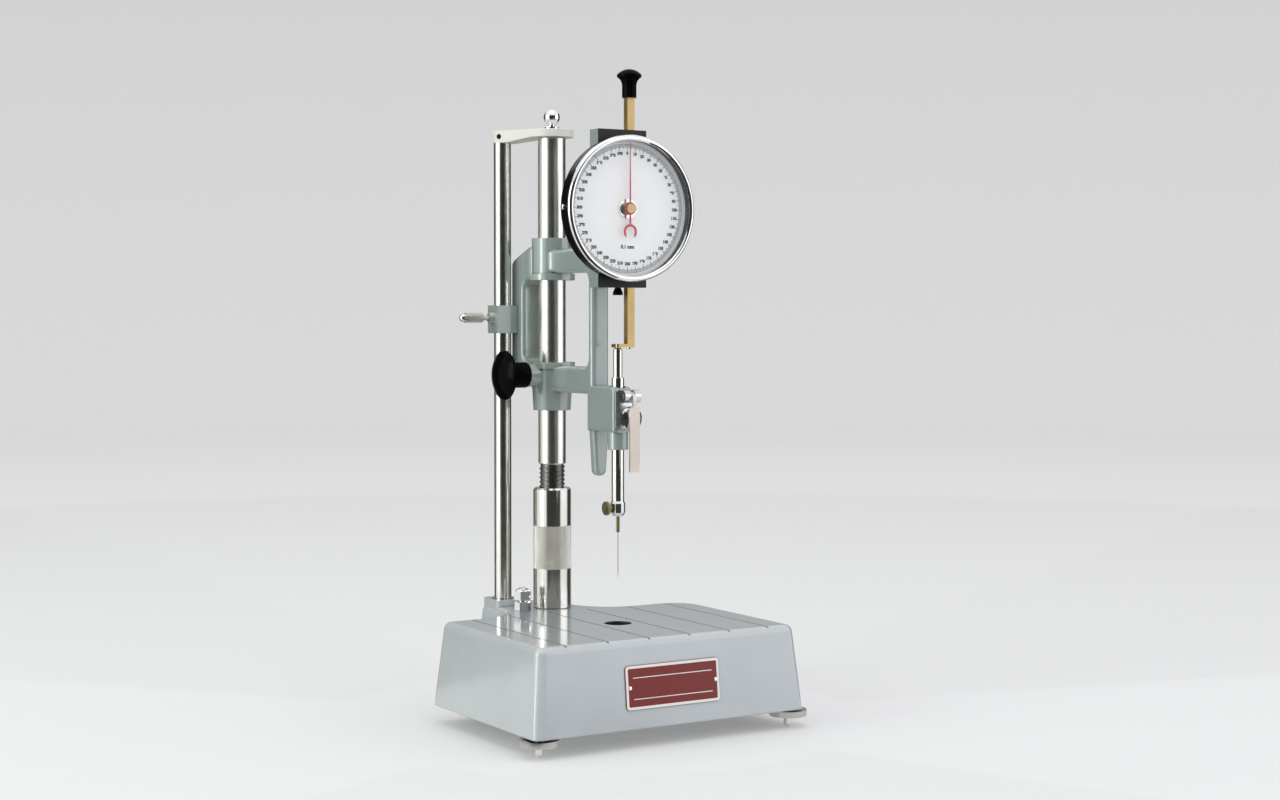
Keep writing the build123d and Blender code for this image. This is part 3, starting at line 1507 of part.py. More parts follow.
dome_front_y = lever_back_y + loose_gap
button_radius = button_diameter / 2
with BuildPart() as release_button:
    button_plane = forward(0, button_back_y, clutch_z)
    with BuildSketch(button_plane):
        with BuildLine():
            dome_start = (button_radius - button_chamfer, button_thickness)
            dome_end = (0, button_back_y - dome_front_y)
            button_edge = (button_radius, button_thickness - button_chamfer)
            Polyline((0, 0), (button_radius, 0), button_edge, dome_start)
            RadiusArc(dome_start, dome_end, -cap_radius(dome_start[0], dome_end[1] - dome_start[1]))
            Line(dome_end, (0, 0))
        make_face()
    revolve(axis=Axis((0, button_back_y, clutch_z), (0, -1, 0)))
save(release_button, "release_button")

with BuildPart() as button_spring:
    with BuildSketch(facing_front(housing_front_y + spring_depth, clutch_z)):
        Circle(spring_radius)
        Circle(stem_bore, mode=Mode.SUBTRACT)
    extrude(amount=spring_depth + button_gap)
save(button_spring, "button_spring")

# Release lever: hangs by its neck from a pin across the ears and pushes the button when squeezed
lever_middle_y = lever_back_y - lever_thickness / 2
lever_low = lever_pin_z - lever_length
hook_z = lever_pin_z + lever_knuckle - lever_thickness / 2
lever_bend = 0.95 * (lever_pin_y - lever_middle_y)
neck_cut = (lever_width - lever_neck) / 2
with BuildPart() as release_lever:
    with BuildSketch(Plane.YZ) as lever_face:
        with BuildLine() as lever_path:
            FilletPolyline((lever_pin_y, hook_z), (lever_middle_y, hook_z), (lever_middle_y, lever_low),
                           radius=lever_bend)
        trace(line_width=lever_thickness)
        with Locations((lever_pin_y, lever_pin_z)):
            Circle(lever_knuckle)
            Circle(pin_seat, mode=Mode.SUBTRACT)
    extrude(amount=lever_width / 2, both=True)
    for side in (-1, 1):
        with Locations((side * (lever_width + lever_neck) / 4, lever_pin_y, lever_pin_z - lever_shoulder)):
            Box(neck_cut, 4 * lever_front, lever_shoulder + 2 * lever_knuckle, align=MIN, mode=Mode.SUBTRACT)
save(release_lever, "release_lever")

with BuildPart() as lever_pin:
    with BuildSketch(facing_left(0, lever_pin_y, lever_pin_z)):
        Circle(lever_pin_diameter / 2)
    extrude(amount=housing_half + lever_pin_end, both=True)
save(lever_pin, "lever_pin")
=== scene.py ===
"""The looks of the laboratory penetrometer: its finishes, dial print, plate border, knurling and studio."""

import json
import math

import bmesh
import bpy
from mathutils import Euler, Matrix, Vector


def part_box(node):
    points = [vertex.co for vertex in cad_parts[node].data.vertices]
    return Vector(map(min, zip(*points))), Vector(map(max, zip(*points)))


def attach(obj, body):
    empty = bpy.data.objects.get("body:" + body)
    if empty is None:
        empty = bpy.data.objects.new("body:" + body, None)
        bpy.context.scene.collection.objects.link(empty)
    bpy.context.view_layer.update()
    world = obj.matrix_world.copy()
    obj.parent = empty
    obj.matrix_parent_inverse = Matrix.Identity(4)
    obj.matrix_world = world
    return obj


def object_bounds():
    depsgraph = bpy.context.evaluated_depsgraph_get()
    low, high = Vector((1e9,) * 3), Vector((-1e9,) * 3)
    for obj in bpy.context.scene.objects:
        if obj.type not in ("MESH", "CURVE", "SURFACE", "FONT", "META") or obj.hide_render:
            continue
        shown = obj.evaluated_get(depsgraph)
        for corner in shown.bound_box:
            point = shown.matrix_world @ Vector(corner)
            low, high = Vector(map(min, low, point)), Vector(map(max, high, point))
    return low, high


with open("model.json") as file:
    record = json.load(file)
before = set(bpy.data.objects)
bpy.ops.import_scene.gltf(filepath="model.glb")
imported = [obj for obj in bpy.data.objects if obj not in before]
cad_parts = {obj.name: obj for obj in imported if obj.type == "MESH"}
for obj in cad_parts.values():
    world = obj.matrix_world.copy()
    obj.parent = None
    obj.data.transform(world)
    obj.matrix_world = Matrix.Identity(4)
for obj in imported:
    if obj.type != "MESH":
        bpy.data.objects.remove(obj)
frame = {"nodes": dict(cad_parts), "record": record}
cad_low, cad_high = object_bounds()
nodes = frame["nodes"]

# Lengths are in metres, angles in degrees
MM = 0.001

# Where a mix node keeps its two colours and their mixture
FIRST_COLOUR = 6
SECOND_COLOUR = 7
MIXED_COLOUR = 2

# How noise is stretched: into rings round an axis, into lines along it, or evenly
AROUND_Z = (0.05, 0.05, 40.0)
AROUND_Y = (0.05, 40.0, 0.05)
ALONG_Z = (40.0, 40.0, 0.05)
EVEN = (6.0, 6.0, 6.0)


def linear(red, green, blue):
    """A colour given in 0 to 255 steps of a screen, as the shader wants it."""
    def channel(step):
        share = step / 255
        return share / 12.92 if share <= 0.04045 else ((share + 0.055) / 1.055) ** 2.4

    return channel(red), channel(green), channel(blue), 1.0


def shade(colour, factor):
    """The colour made darker or lighter by a factor."""
    return tuple(channel * factor for channel in colour[:3]) + (1.0,)


class Finish:
    """A material being made: its nodes, its links and its main shader."""

    soft_step = 0.2 * MM

    def __init__(self, name, **constants):
        self.material = bpy.data.materials.new(name)
        self.material.use_nodes = True
        tree = self.material.node_tree
        self.nodes = tree.nodes
        self.links = tree.links
        self.shader = tree.nodes["Principled BSDF"]
        self.place = self.nodes.new("ShaderNodeTexCoord").outputs["Object"]
        for socket, value in constants.items():
            self.shader.inputs[socket.replace("_", " ")].default_value = value

    def add(self, kind, **settings):
        """A new node with these settings."""
        node = self.nodes.new(kind)
        for name, value in settings.items():
            setattr(node, name, value)
        return node

    def stretched(self, stretch):
        """The place on the object, with each axis scaled."""
        mapping = self.add("ShaderNodeMapping")
        mapping.inputs["Scale"].default_value = stretch
        self.links.new(self.place, mapping.inputs["Vector"])
        return mapping.outputs["Vector"]

    def noise(self, grain, detail=3.0, stretch=None):
        """Noise whose spots are about one grain across."""
        node = self.add("ShaderNodeTexNoise")
        node.inputs["Scale"].default_value = 1 / grain
        node.inputs["Detail"].default_value = detail
        self.links.new(self.stretched(stretch) if stretch else self.place, node.inputs["Vector"])
        return node.outputs["Fac"]

    def ranged(self, value, low, high, start=0.3, end=0.7):
        """The value brought from one range into another."""
        node = self.add("ShaderNodeMapRange")
        node.inputs["From Min"].default_value = start
        node.inputs["From Max"].default_value = end
        node.inputs["To Min"].default_value = low
        node.inputs["To Max"].default_value = high
        self.links.new(value, node.inputs["Value"])
        return node.outputs["Result"]

    def between(self, share, first, second):
        """A colour between two, which may be colours or outputs."""
        node = self.add("ShaderNodeMix", data_type="RGBA")
        self.links.new(share, node.inputs["Factor"])
        for place, colour in ((FIRST_COLOUR, first), (SECOND_COLOUR, second)):
            if isinstance(colour, tuple):
                node.inputs[place].default_value = colour
            else:
                self.links.new(colour, node.inputs[place])
        return node.outputs[MIXED_COLOUR]

    def mottled(self, share, colour, dark, light):
        """One colour, shaded between two factors."""
        return self.between(share, shade(colour, dark), shade(colour, light))

    def colour(self, output):
        """Takes the base colour from an output."""
        self.links.new(output, self.shader.inputs["Base Color"])

    def roughness(self, output):
        """Takes the roughness from an output."""
        self.links.new(output, self.shader.inputs["Roughness"])

    def rounded(self, radius):
        """Edges that catch the light as if they were rounded by this radius."""
        node = self.add("ShaderNodeBevel", samples=10)
        node.inputs["Radius"].default_value = radius
        self.links.new(node.outputs["Normal"], self.shader.inputs["Normal"])

    def sheltered(self, reach):
        """Zero deep in a corner or groove and one on an open face, looking this far round; enamel uses it to
        paint shade into its colour.
        """
        node = self.add("ShaderNodeAmbientOcclusion", samples=6)
        node.inputs["Distance"].default_value = reach
        return node.outputs["AO"]

    def outside(self, middle, radius):
        """Zero within an upright bore of this radius and one outside it."""
        node = self.add("ShaderNodeVectorMath", operation="DISTANCE")
        node.inputs[1].default_value = (middle.x, middle.y, 0)
        self.links.new(self.stretched((1, 1, 0)), node.inputs[0])
        return self.ranged(node.outputs["Value"], 0, 1, radius, radius + self.soft_step)

    def above(self, height):
        """Zero below a height on the object and one above it."""
        axes = self.add("ShaderNodeSeparateXYZ")
        self.links.new(self.place, axes.inputs["Vector"])
        return self.ranged(axes.outputs["Z"], 0, 1, height - self.soft_step, height + self.soft_step)

    def bump(self, height, depth):
        """Relief of this depth, added to any relief that is there."""
        node = self.add("ShaderNodeBump")
        node.inputs["Distance"].default_value = depth
        self.links.new(height, node.inputs["Height"])
        normal = self.shader.inputs["Normal"]
        if normal.is_linked:
            self.links.new(normal.links[0].from_socket, node.inputs["Normal"])
        self.links.new(node.outputs["Normal"], normal)


# Finishes
# Near-black painted shade for the inside of the needle well's bore
painted_well_shade = (0.02, 0.02, 0.02, 1.0)
well = next(mount for mount in frame["record"]["mounts"] if mount["name"] == "needle_well")
well_middle = Vector(well["pos_m"])
well_radius = well["dims"]["r_mm"] * MM
smudge_grain = 18 * MM
smudge_shades = (0.94, 1.03)
tool_grain = 8 * MM
polished_groove = 0.0015 * MM


def enamel(name, colour, orange_peel, rough, edge, gloss, bore=0.0):
    """Sprayed enamel on a casting: soft at its edges, slightly wavy and cloudy, with painted shade in
    grooves, corners and the needle well's bore.
    """
    cloud_grain = 45 * MM
    # Painted shade in grooves and corners: how far round it looks, and how dark it gets
    painted_shade_reach = 2.5 * MM
    painted_groove_shade = 0.25
    sheen_grain = 30 * MM
    sheen_spread = 0.04
    wave_grain = 16 * MM
    wave_depth = 0.03 * MM
    peel_grain = 2.6 * MM
    finish = Finish(name, Coat_Weight=1.0, Coat_Roughness=0.10, Coat_IOR=gloss)
    clouds = finish.ranged(finish.noise(cloud_grain, detail=4), 0, 1)
    clean = finish.mottled(clouds, colour, 0.96, 1.03)
    # Painted shade: the colour darkens towards a quarter of itself in grooves, inside corners and where parts
    # meet
    unshaded_face = finish.ranged(finish.sheltered(painted_shade_reach), 0, 1, start=0.35, end=0.85)
    painted = finish.between(unshaded_face, shade(colour, painted_groove_shade), clean)
    # Painted shade: near black inside the needle well's bore
    finish.colour(finish.between(finish.outside(well_middle, bore), painted_well_shade, painted))
    sheen = finish.noise(sheen_grain, detail=1)
    finish.roughness(finish.ranged(sheen, rough - sheen_spread, rough + sheen_spread, start=0, end=1))
    finish.rounded(edge)
    finish.bump(finish.noise(wave_grain, detail=1), wave_depth)
    finish.bump(finish.noise(peel_grain, detail=1), orange_peel)
    return finish.material


def turned_metal(name, colour, rough, groove, stretch):
    """Polished or turned metal, with fine tool lines along the stretched axes."""
    finish = Finish(name, Metallic=1.0)
    smudges = finish.noise(smudge_grain, detail=4)
    finish.colour(finish.mottled(finish.ranged(smudges, 0, 1), colour, *smudge_shades))
    finish.roughness(finish.ranged(smudges, rough * 0.8, rough * 1.25))
    finish.bump(finish.noise(tool_grain, stretch=stretch), groove)
    return finish.material


def oiled_thread(name, colour, rough, thread_top):
    """Turned steel, much darker and rougher up to the top of its thread."""
    thread_shades = (0.18, 0.28)
    thread_roughness = 0.3
    finish = Finish(name, Metallic=1.0)
    smudges = finish.ranged(finish.noise(smudge_grain, detail=4), 0, 1)
    clean = finish.mottled(smudges, colour, *smudge_shades)
    darker_thread = finish.mottled(smudges, colour, *thread_shades)
    bright = finish.above(thread_top)
    finish.colour(finish.between(bright, darker_thread, clean))
    finish.roughness(finish.ranged(bright, thread_roughness, rough, start=0, end=1))
    finish.bump(finish.noise(tool_grain, stretch=AROUND_Z), polished_groove)
    return finish.material


def moulded(name, colour, rough):
    """Hard black moulding compound with a faint swirl and polishing marks."""
    swirl_grain = 4 * MM
    mark_grain = 2 * MM
    wave_grain = 9 * MM
    wave_depth = 0.01 * MM
    finish = Finish(name, Coat_Weight=0.02, Coat_Roughness=0.03, Specular_IOR_Level=0.02)
    finish.colour(finish.mottled(finish.noise(swirl_grain, detail=5), colour, 0.7, 1.5))
    finish.roughness(finish.ranged(finish.noise(mark_grain, detail=4), rough, rough + 0.1))
    finish.bump(finish.noise(wave_grain, detail=1), wave_depth)
    return finish.material


def crackle(name, colour, rough, wrinkle):
    """Dark enamel with the fine wrinkles of a baked finish."""
    cloud_grain = 3 * MM
    sheen_grain = 5 * MM
    wrinkle_grain = 0.7 * MM
    finish = Finish(name, Specular_IOR_Level=0.3)
    finish.colour(finish.mottled(finish.noise(cloud_grain), colour, 0.8, 1.2))
    finish.roughness(finish.ranged(finish.noise(sheen_grain), rough, rough + 0.1))
    finish.bump(finish.noise(wrinkle_grain), wrinkle)
    return finish.material


def printed(name, colour, rough):
    """Flat ink or enamel, with a trace of unevenness."""
    cloud_grain = 6 * MM
    sheen_grain = 3 * MM
    relief_grain = 0.9 * MM
    relief_depth = 0.01 * MM
    finish = Finish(name)
    finish.colour(finish.mottled(finish.noise(cloud_grain), colour, 0.96, 1.03))
    finish.roughness(finish.ranged(finish.noise(sheen_grain), rough, rough + 0.08))
    finish.bump(finish.noise(relief_grain, detail=2), relief_depth)
    return finish.material


def clear_glass(name):
    """The dial's glass, which shows little but its gloss."""
    smear_grain = 30 * MM
    finish = Finish(name, Base_Color=(0.95, 0.97, 0.98, 1.0), Alpha=0.03)
    finish.roughness(finish.ranged(finish.noise(smear_grain), 0.02, 0.05))
    return finish.material


paint_colour = linear(185, 189, 191)
head_colour = linear(146, 157, 153)
steel_colour = (0.80, 0.78, 0.73, 1.0)
finishes = {
    "casting_paint": enamel(
        "casting_paint", paint_colour,
        orange_peel=0.003 * MM, rough=0.30, edge=1.5 * MM, gloss=1.5, bore=well_radius,
    ),
    "head_paint": enamel(
        "head_paint", head_colour,
        orange_peel=0.005 * MM, rough=0.24, edge=2.0 * MM, gloss=1.75,
    ),
    "plate_red": printed("plate_red", linear(122, 36, 32), rough=0.36),
    "polished_steel": turned_metal(
        "polished_steel", steel_colour, rough=0.14, groove=polished_groove, stretch=AROUND_Z,
    ),
    "bright_chrome": turned_metal(
        "bright_chrome", (0.86, 0.86, 0.86, 1.0), rough=0.06, groove=0.002 * MM, stretch=EVEN,
    ),
    "machined_brass": turned_metal(
        "machined_brass", linear(198, 170, 117), rough=0.34, groove=0.006 * MM, stretch=ALONG_Z,
    ),
    "black_knob": moulded("black_knob", (0.002, 0.002, 0.0023, 1.0), rough=0.10),
    "dark_cover": crackle("dark_cover", linear(43, 43, 46), rough=0.42, wrinkle=0.04 * MM),
    "black_case": crackle("black_case", linear(8, 8, 9), rough=0.14, wrinkle=0.008 * MM),
    "dial_white": printed("dial_white", linear(247, 246, 243), rough=0.45),
    "dial_glass": clear_glass("dial_glass"),
    "pointer_red": printed("pointer_red", linear(186, 40, 62), rough=0.35),
    "aged_brass": turned_metal(
        "aged_brass", linear(150, 142, 104), rough=0.34, groove=0.01 * MM, stretch=EVEN,
    ),
    "satin_steel": turned_metal(
        "satin_steel", linear(214, 217, 220), rough=0.21, groove=0.006 * MM, stretch=ALONG_Z,
    ),
    "lever_nickel": turned_metal(
        "lever_nickel", linear(224, 212, 201), rough=0.35, groove=0.006 * MM, stretch=ALONG_Z,
    ),
    "satin_aluminium": printed("satin_aluminium", linear(217, 215, 207), rough=0.36),
    "spring_steel": turned_metal(
        "spring_steel", (0.45, 0.45, 0.45, 1.0), rough=0.30, groove=0.01 * MM, stretch=AROUND_Y,
    ),
}
white_enamel = printed("white_enamel", linear(236, 232, 226), rough=0.35)
black_ink = printed("black_ink", linear(22, 22, 26), rough=0.5)
black_oxide = printed("black_oxide", linear(12, 12, 12), rough=0.6)
knurled_steel = turned_metal(
    "knurled_steel", (0.72, 0.70, 0.63, 1.0), rough=0.21, groove=0.0005 * MM, stretch=EVEN,
)
satin_rod = turned_metal("satin_rod", steel_colour, rough=0.20, groove=polished_groove, stretch=AROUND_Z)
# Darker chrome for the two front foot wheels
darker_chrome = turned_metal(
    "darker_chrome", (0.60, 0.59, 0.57, 1.0), rough=0.14, groove=0.003 * MM, stretch=EVEN,
)

# Each node takes the finish of its slot, and a few nodes take one of their own
thread_shown = 21.5 * MM
thread_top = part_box("adjusting_nut")[1].z + thread_shown
node_slots = {piece["node"]: piece["material_slot"] for piece in frame["record"]["subparts"]}
own_finish = {
    "rod_thumbscrew": knurled_steel,
    "top_plate_set_screw": black_oxide,
    "front_foot_wheel_left": darker_chrome,
    "front_foot_wheel_right": darker_chrome,
    "column": oiled_thread("column_steel", steel_colour, 0.26, thread_top),
    "guide_rod": satin_rod,
}
for name, node in nodes.items():
    node.data.materials.clear()
    node.data.materials.append(own_finish.get(name, finishes[node_slots[name]]))


# Pieces that are too fine for the solids
def mesh_object(name, mesh_maker, material):
    """A new object whose mesh is filled in by a function."""
    mesh = bpy.data.meshes.new(name)
    shape = bmesh.new()
    mesh_maker(shape)
    bmesh.ops.recalc_face_normals(shape, faces=shape.faces)
    shape.to_mesh(mesh)
    shape.free()
    mesh.materials.append(material)
    piece = bpy.data.objects.new(name, mesh)
    bpy.context.scene.collection.objects.link(piece)
    return piece


def new_piece(name, mesh_maker, material, body, place):
    """A mesh piece of the object, at its place, that rides on a body."""
    piece = mesh_object(name, mesh_maker, material)
    piece.matrix_world = place
    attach(piece, body)


def joined(shape, first, second):
    """The faces between two rings of as many points each."""
    faces = []
    for i in range(len(first)):
        j = (i + 1) % len(first)
        faces.append(shape.faces.new((first[i], first[j], second[j], second[i])))
    return faces


def ring(shape, points, height):
    """The outline's points at a height."""
    return [shape.verts.new((x, y, height)) for x, y in points]


def prism(shape, points, depth):
    """A flat plate of this outline, lying on z = 0 and rising by the depth."""
    low = ring(shape, points, 0)
    high = ring(shape, points, depth)
    shape.faces.new(low)
    shape.faces.new(high)
    joined(shape, low, high)


def band(shape, inner, outer, depth):
    """A flat ring between two outlines with as many points each."""
    sides = ((inner, 0), (inner, depth), (outer, depth), (outer, 0))
    loops = [ring(shape, points, height) for points, height in sides]
    for first, second in zip(loops, loops[1:] + loops[:1]):
        joined(shape, first, second)


def rectangle(left, right, low, high):
    """The corners of a rectangle."""
    return (left, low), (right, low), (right, high), (left, high)


def circle(radius, steps=240):
    """The points of a circle."""
    turns = [2 * math.pi * i / steps for i in range(steps)]
    return [(radius * math.cos(turn), radius * math.sin(turn)) for turn in turns]


def rounded_box(width, height, radius, steps=6):
    """The points of a box with round corners."""
    points = []
    for quarter, (side, rise) in enumerate(((1, 1), (-1, 1), (-1, -1), (1, -1))):
        for step in range(steps + 1):
            turn = math.radians(90 * (quarter + step / steps))
            points.append((
                side * (width / 2 - radius) + radius * math.cos(turn),
                rise * (height / 2 - radius) + radius * math.sin(turn),
            ))
    return points


# Dial print: 400 divisions, and a number at every tenth
face_low, face_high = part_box("dial_face")
dial_middle = (face_low + face_high) / 2
to_front = Matrix.Rotation(math.pi / 2, 4, "X")
dial_place = Matrix.Translation((dial_middle.x, face_low.y, dial_middle.z)) @ to_front
divisions = 400
numbered_every = 10
middle_every = 5
ink_depth = 0.04 * MM
scale_radius = 55.6 * MM
long_tick = 5.3 * MM
middle_tick = 4.0 * MM
fine_tick = 2.6 * MM
long_width = 0.46 * MM
fine_width = 0.64 * long_width
ring_width = 0.5 * long_width
number_radius = 47.7 * MM
number_height = 3.6 * MM
number_weight = 0.25 * MM
unit_height = 4.4 * MM
unit_drop = 33 * MM


def tick_size(division):
    """How far a division's line runs inwards, and how wide it is."""
    if division % numbered_every == 0:
        return long_tick, long_width
    if division % middle_every == 0:
        return middle_tick, fine_width
    return fine_tick, fine_width


def dial_lines(shape):
    """The lines of the divisions, and a fine ring at each end of them."""
    for division in range(divisions):
        length, width = tick_size(division)
        corners = rectangle(-width / 2, width / 2, scale_radius - length, scale_radius)
        turn = Matrix.Rotation(-2 * math.pi * division / divisions, 2)
        prism(shape, [turn @ Vector(corner) for corner in corners], ink_depth)
    for radius in (scale_radius, scale_radius - fine_tick):
        band(shape, circle(radius - ring_width / 2), circle(radius + ring_width / 2), ink_depth)


def add_words(shape, text, height, x, y):
    """A few printed characters, centred on a point of the dial."""
    curve = bpy.data.curves.new("words", "FONT")
    curve.body = text
    curve.size = height
    curve.extrude = ink_depth / 2
    curve.offset = number_weight
    curve.align_x = "CENTER"
    curve.align_y = "CENTER"
    words = bpy.data.objects.new("words", curve)
    bpy.context.scene.collection.objects.link(words)
    mesh = bpy.data.meshes.new_from_object(words.evaluated_get(bpy.context.evaluated_depsgraph_get()))
    mesh.transform(Matrix.Translation((x, y, ink_depth / 2)))
    shape.from_mesh(mesh)
    bpy.data.objects.remove(words)
    bpy.data.meshes.remove(mesh)


def dial_numbers(shape):
    """Upright numbers at every tenth division."""
    for number in range(0, divisions, numbered_every):
        turn = 2 * math.pi * number / divisions
        x = number_radius * math.sin(turn)
        y = number_radius * math.cos(turn)
        add_words(shape, str(number), number_height, x, y)


def dial_unit(shape):
    """What one division stands for, below the middle."""
    add_words(shape, "0.1 mm", unit_height, 0, -unit_drop)


for name, print_maker in (
    ("dial_scale", dial_lines),
    ("dial_numbers", dial_numbers),
    ("dial_unit", dial_unit),
):
    new_piece(name, print_maker, black_ink, "head", dial_place)


# Name plate: a raised white border round the bare red field
def front_plane(node):
    """A frame on the node's largest face that looks forwards, and the face's width and height."""
    forwards = -0.9
    faces = [face for face in node.data.polygons if face.normal.y < forwards]
    normal = max(faces, key=lambda face: face.area).normal.normalized()
    out = max(vertex.co.dot(normal) for vertex in node.data.vertices)
    low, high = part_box(node.name)
    middle = (low + high) / 2
    middle += normal * (out - middle.dot(normal))
    across = Vector((1, 0, 0))
    up = normal.cross(across)
    place = Matrix((across, up, normal)).transposed().to_4x4()
    place.translation = middle
    return place, high.x - low.x, (high - low).dot(up)


plate_place, plate_width, plate_height = front_plane(nodes["nameplate"])
border_inset = 0.3 * MM
border_width = 2.2 * MM
border_depth = 0.18 * MM
outer_corner = 2.7 * MM
inner_corner = 1.2 * MM
rule_width = 0.7 * MM
rule_length = 0.84 * plate_width
rule_heights = (0.22 * plate_height, -0.26 * plate_height)


def plate_border(shape):
    """The border, and two plain rules that part the field."""
    outer_cut = 2 * border_inset
    inner_cut = 2 * (border_inset + border_width)
    outer = rounded_box(plate_width - outer_cut, plate_height - outer_cut, outer_corner)
    inner = rounded_box(plate_width - inner_cut, plate_height - inner_cut, inner_corner)
    band(shape, inner, outer, border_depth)
    for middle in rule_heights:
        rule = rectangle(-rule_length / 2, rule_length / 2, middle - rule_width / 2, middle + rule_width / 2)
        prism(shape, rule, border_depth)


new_piece("plate_border", plate_border, white_enamel, "base", plate_place)

# Adjusting nut: the diamond knurl in its recessed band
nut_low, nut_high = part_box("adjusting_nut")
nut_middle = (nut_low + nut_high) / 2
knurl_start = 35.2 * MM
knurl_length = 40.0 * MM
knurl_depth = 0.36 * MM
knurl_sink = 0.04 * MM
knurl_wall = 0.3 * MM
knurl_around = 180
knurl_along = 66
knurl_outer = (nut_high.x - nut_low.x) / 2 - knurl_sink
knurl_inner = knurl_outer - knurl_depth


def nut_knurl(shape):
    """A sleeve of small pyramids between two sets of crossing grooves."""
    rings = []
    for j in range(knurl_along + 1):
        edge = j in (0, knurl_along)
        points = []
        for i in range(knurl_around):
            turn = 2 * math.pi * i / knurl_around
            radius = knurl_outer if (i + j) % 2 and not edge else knurl_inner
            points.append((radius * math.cos(turn), radius * math.sin(turn)))
        rings.append(ring(shape, points, knurl_length * j / knurl_along))
    for j in range(knurl_along):
        for i in range(knurl_around):
            k = (i + 1) % knurl_around
            cell = (rings[j][i], rings[j][k], rings[j + 1][k], rings[j + 1][i])
            if (i + j) % 2:
                cell = cell[1:] + cell[:1]
            shape.faces.new((cell[0], cell[1], cell[2]))
            shape.faces.new((cell[0], cell[2], cell[3]))
    bore = circle(knurl_inner - knurl_wall, knurl_around)
    bore_low = ring(shape, bore, 0)
    bore_high = ring(shape, bore, knurl_length)
    for first, second in ((rings[0], bore_low), (bore_low, bore_high), (bore_high, rings[-1])):
        joined(shape, first, second)


nut_place = Matrix.Translation((nut_middle.x, nut_middle.y, nut_low.z + knurl_start))
new_piece("nut_knurl", nut_knurl, knurled_steel, "adjusting_nut", nut_place)

# Studio: a pale round cove, soft boxes, and dark flags that polished metal mirrors as bands
camera_turn = 31.5
view_turn = math.radians(camera_turn)
toward_camera = Vector((-math.sin(view_turn), -math.cos(view_turn), 0))
to_the_right = Vector((math.cos(view_turn), -math.sin(view_turn), 0))
object_middle = (cad_low + cad_high) / 2
paper_colour = linear(192, 192, 192)
paper_glow = 0.45
matt = 0.9


def paper(name):
    """Matt paper with a glow of its own that the camera, metal and glass see, but that lights nothing."""
    finish = Finish(name, Base_Color=paper_colour, Roughness=matt, Emission_Color=paper_colour)
    rays = finish.add("ShaderNodeLightPath").outputs
    seen = rays["Is Camera Ray"]
    for ray in ("Is Glossy Ray", "Is Transmission Ray"):
        either = finish.add("ShaderNodeMath", operation="MAXIMUM")
        finish.links.new(seen, either.inputs[0])
        finish.links.new(rays[ray], either.inputs[1])
        seen = either.outputs["Value"]
    glow = finish.add("ShaderNodeMath", operation="MULTIPLY")
    glow.inputs[1].default_value = paper_glow
    finish.links.new(seen, glow.inputs[0])
    finish.links.new(glow.outputs["Value"], finish.shader.inputs["Emission Strength"])
    return finish.material


cove_middle = 1.68
cove_floor = 4.2
cove_curve = 1.8
cove_height = 2.4
cove_steps = 12
cove_sides = 96


def cove(shape):
    """A floor that curves up into a round wall."""
    profile = [(cove_middle, 0.0), (cove_floor, 0.0)]
    for step in range(1, cove_steps + 1):
        turn = math.radians(90 * step / cove_steps)
        profile.append((cove_floor + cove_curve * math.sin(turn), cove_curve * (1 - math.cos(turn))))
    profile.append((cove_floor + cove_curve, cove_height))
    rings = [ring(shape, circle(radius, cove_sides), height) for radius, height in profile]
    shape.faces.new(rings[0])
    for first, second in zip(rings, rings[1:]):
        for face in joined(shape, first, second):
            face.smooth = True


cove_piece = mesh_object("cove", cove, paper("cove_paper"))


def around(angle, distance, height):
    """A point round the object, by the angle from the camera's side towards its right."""
    turn = math.radians(angle)
    level = toward_camera * math.cos(turn) + to_the_right * math.sin(turn)
    return Vector((object_middle.x, object_middle.y, 0)) + level * distance + Vector((0, 0, height))


def facing_object(point):
    """A frame at the point whose back looks at the object."""
    aim = object_middle - point
    place = aim.to_track_quat("-Z", "Y").to_matrix().to_4x4()
    place.translation = point
    return place


def soft_box(name, place, size, radiance, colour, mirrored=True):
    """A soft box of this brightness, which polished metal mirrors or not."""
    width, tall = size
    light = bpy.data.lights.new(name, "AREA")
    light.shape = "RECTANGLE"
    light.size = width
    light.size_y = tall
    light.energy = radiance * math.pi * width * tall
    light.color = colour
    lamp = bpy.data.objects.new(name, light)
    lamp.matrix_world = facing_object(place)
    lamp.visible_camera = False
    lamp.visible_glossy = mirrored
    bpy.context.scene.collection.objects.link(lamp)


flag_near = 0.24
flag_far = 2.3
flag_height = 1.7
flag_lift = 0.002
flag_sides = 12


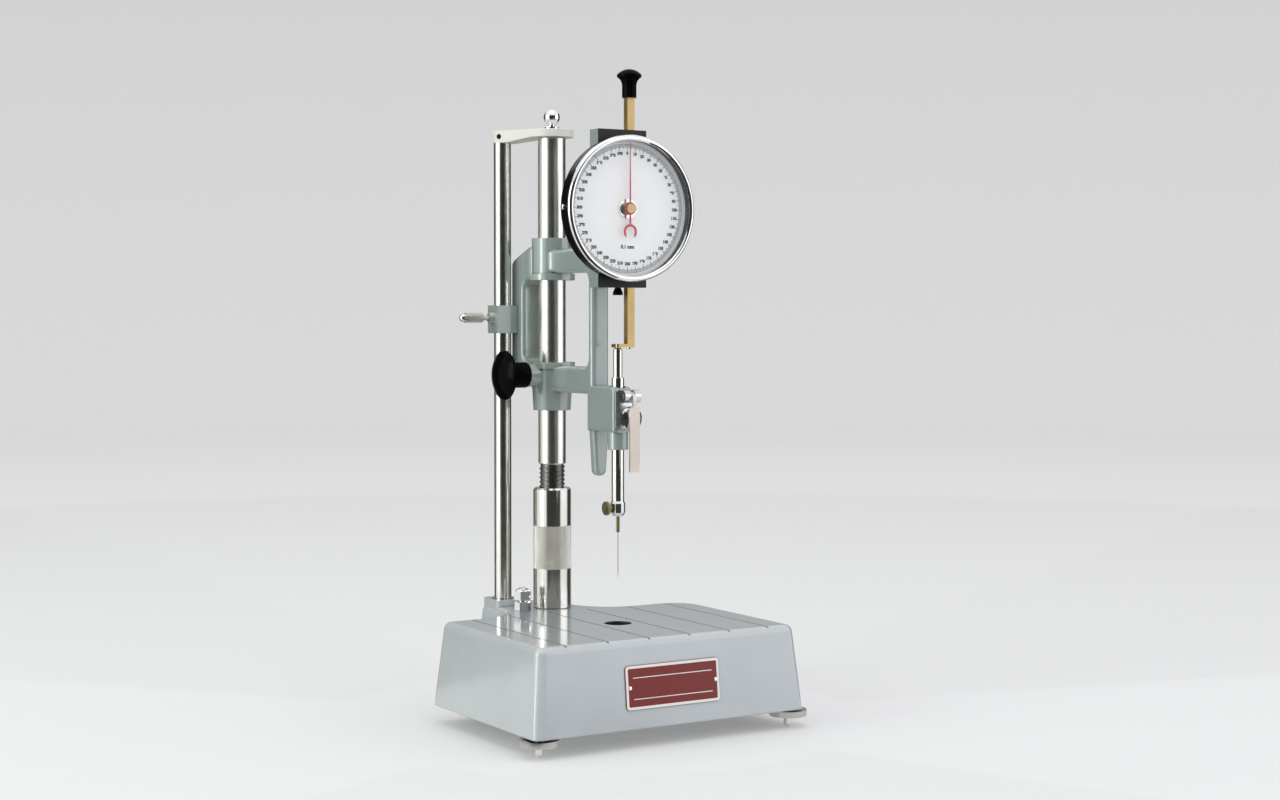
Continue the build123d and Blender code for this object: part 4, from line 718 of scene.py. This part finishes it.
def flag(name, start, end, level):
    """A dark flag between two angles, from the floor near the object up a round wall, only in mirrors."""
    profile = [(flag_near, flag_lift), (flag_far, flag_lift), (flag_far, flag_height)]

    def wall(shape):
        rows = []
        for step in range(flag_sides + 1):
            angle = start + (end - start) * step / flag_sides
            rows.append([shape.verts.new(around(angle, reach, height)) for reach, height in profile])
        for first, second in zip(rows, rows[1:]):
            for i in range(len(profile) - 1):
                shape.faces.new((first[i], first[i + 1], second[i + 1], second[i]))

    cloth = Finish(name, Base_Color=(level, level, level, 1.0), Roughness=matt)
    piece = mesh_object(name, wall, cloth.material)
    piece.visible_camera = False
    piece.visible_diffuse = False
    piece.visible_shadow = False


black_cloth = 0.02
grey_cloth = 0.36
flag("front_flag", -34, 54, black_cloth)
flag("left_flag", -150, -108, black_cloth)
flag("right_flag", 108, 150, black_cloth)
flag("back_flag", 150, 210, grey_cloth)

green_tint = (0.89, 1.0, 0.92)
blue_tint = (0.76, 0.85, 1.0)
cool_tint = (0.90, 0.93, 1.0)
white = (1.0, 1.0, 1.0)
soft_box("left_strip", around(-63, 2.5, 0.7), size=(0.7, 2.2), radiance=5.0, colour=green_tint)
soft_box("left_box", around(-63, 2.7, 0.6), size=(2.6, 2.6), radiance=0.68, colour=green_tint)
soft_box("front_fill", around(36, 2.4, 0.5), size=(1.8, 1.8), radiance=1.2, colour=blue_tint, mirrored=False)
soft_box("right_box", around(80, 2.7, 0.6), size=(2.4, 2.6), radiance=1.0, colour=cool_tint)
soft_box("top_box", around(0, 0.4, 2.6), size=(2.2, 2.2), radiance=0.6, colour=white)

sky_colour = (0.95, 0.95, 0.96, 1.0)
sky_level = 1.0
world = bpy.data.worlds.new("studio_light")
world.use_nodes = True
sky = world.node_tree.nodes["Background"]
sky.inputs["Color"].default_value = sky_colour
sky.inputs["Strength"].default_value = sky_level
bpy.context.scene.world = world
bpy.context.scene.view_settings.view_transform = "Standard"

# Camera, at the photograph's angle and framing
photo_width = 1280
focal_pixels = 2060
sensor_width = 36
lens_shift = -0.03
far_limit = 50
camera_tilt = 1.32
camera_place = (-0.9214, -1.5806, 0.359)
camera_data = bpy.data.cameras.new("camera")
camera_data.sensor_width = sensor_width
camera_data.lens = sensor_width * focal_pixels / photo_width
camera_data.shift_y = lens_shift
camera_data.clip_end = far_limit
camera = bpy.data.objects.new("camera", camera_data)
camera.location = camera_place
camera.rotation_euler = Euler((math.radians(90 - camera_tilt), 0, -view_turn))
bpy.context.scene.collection.objects.link(camera)
bpy.context.scene.camera = camera
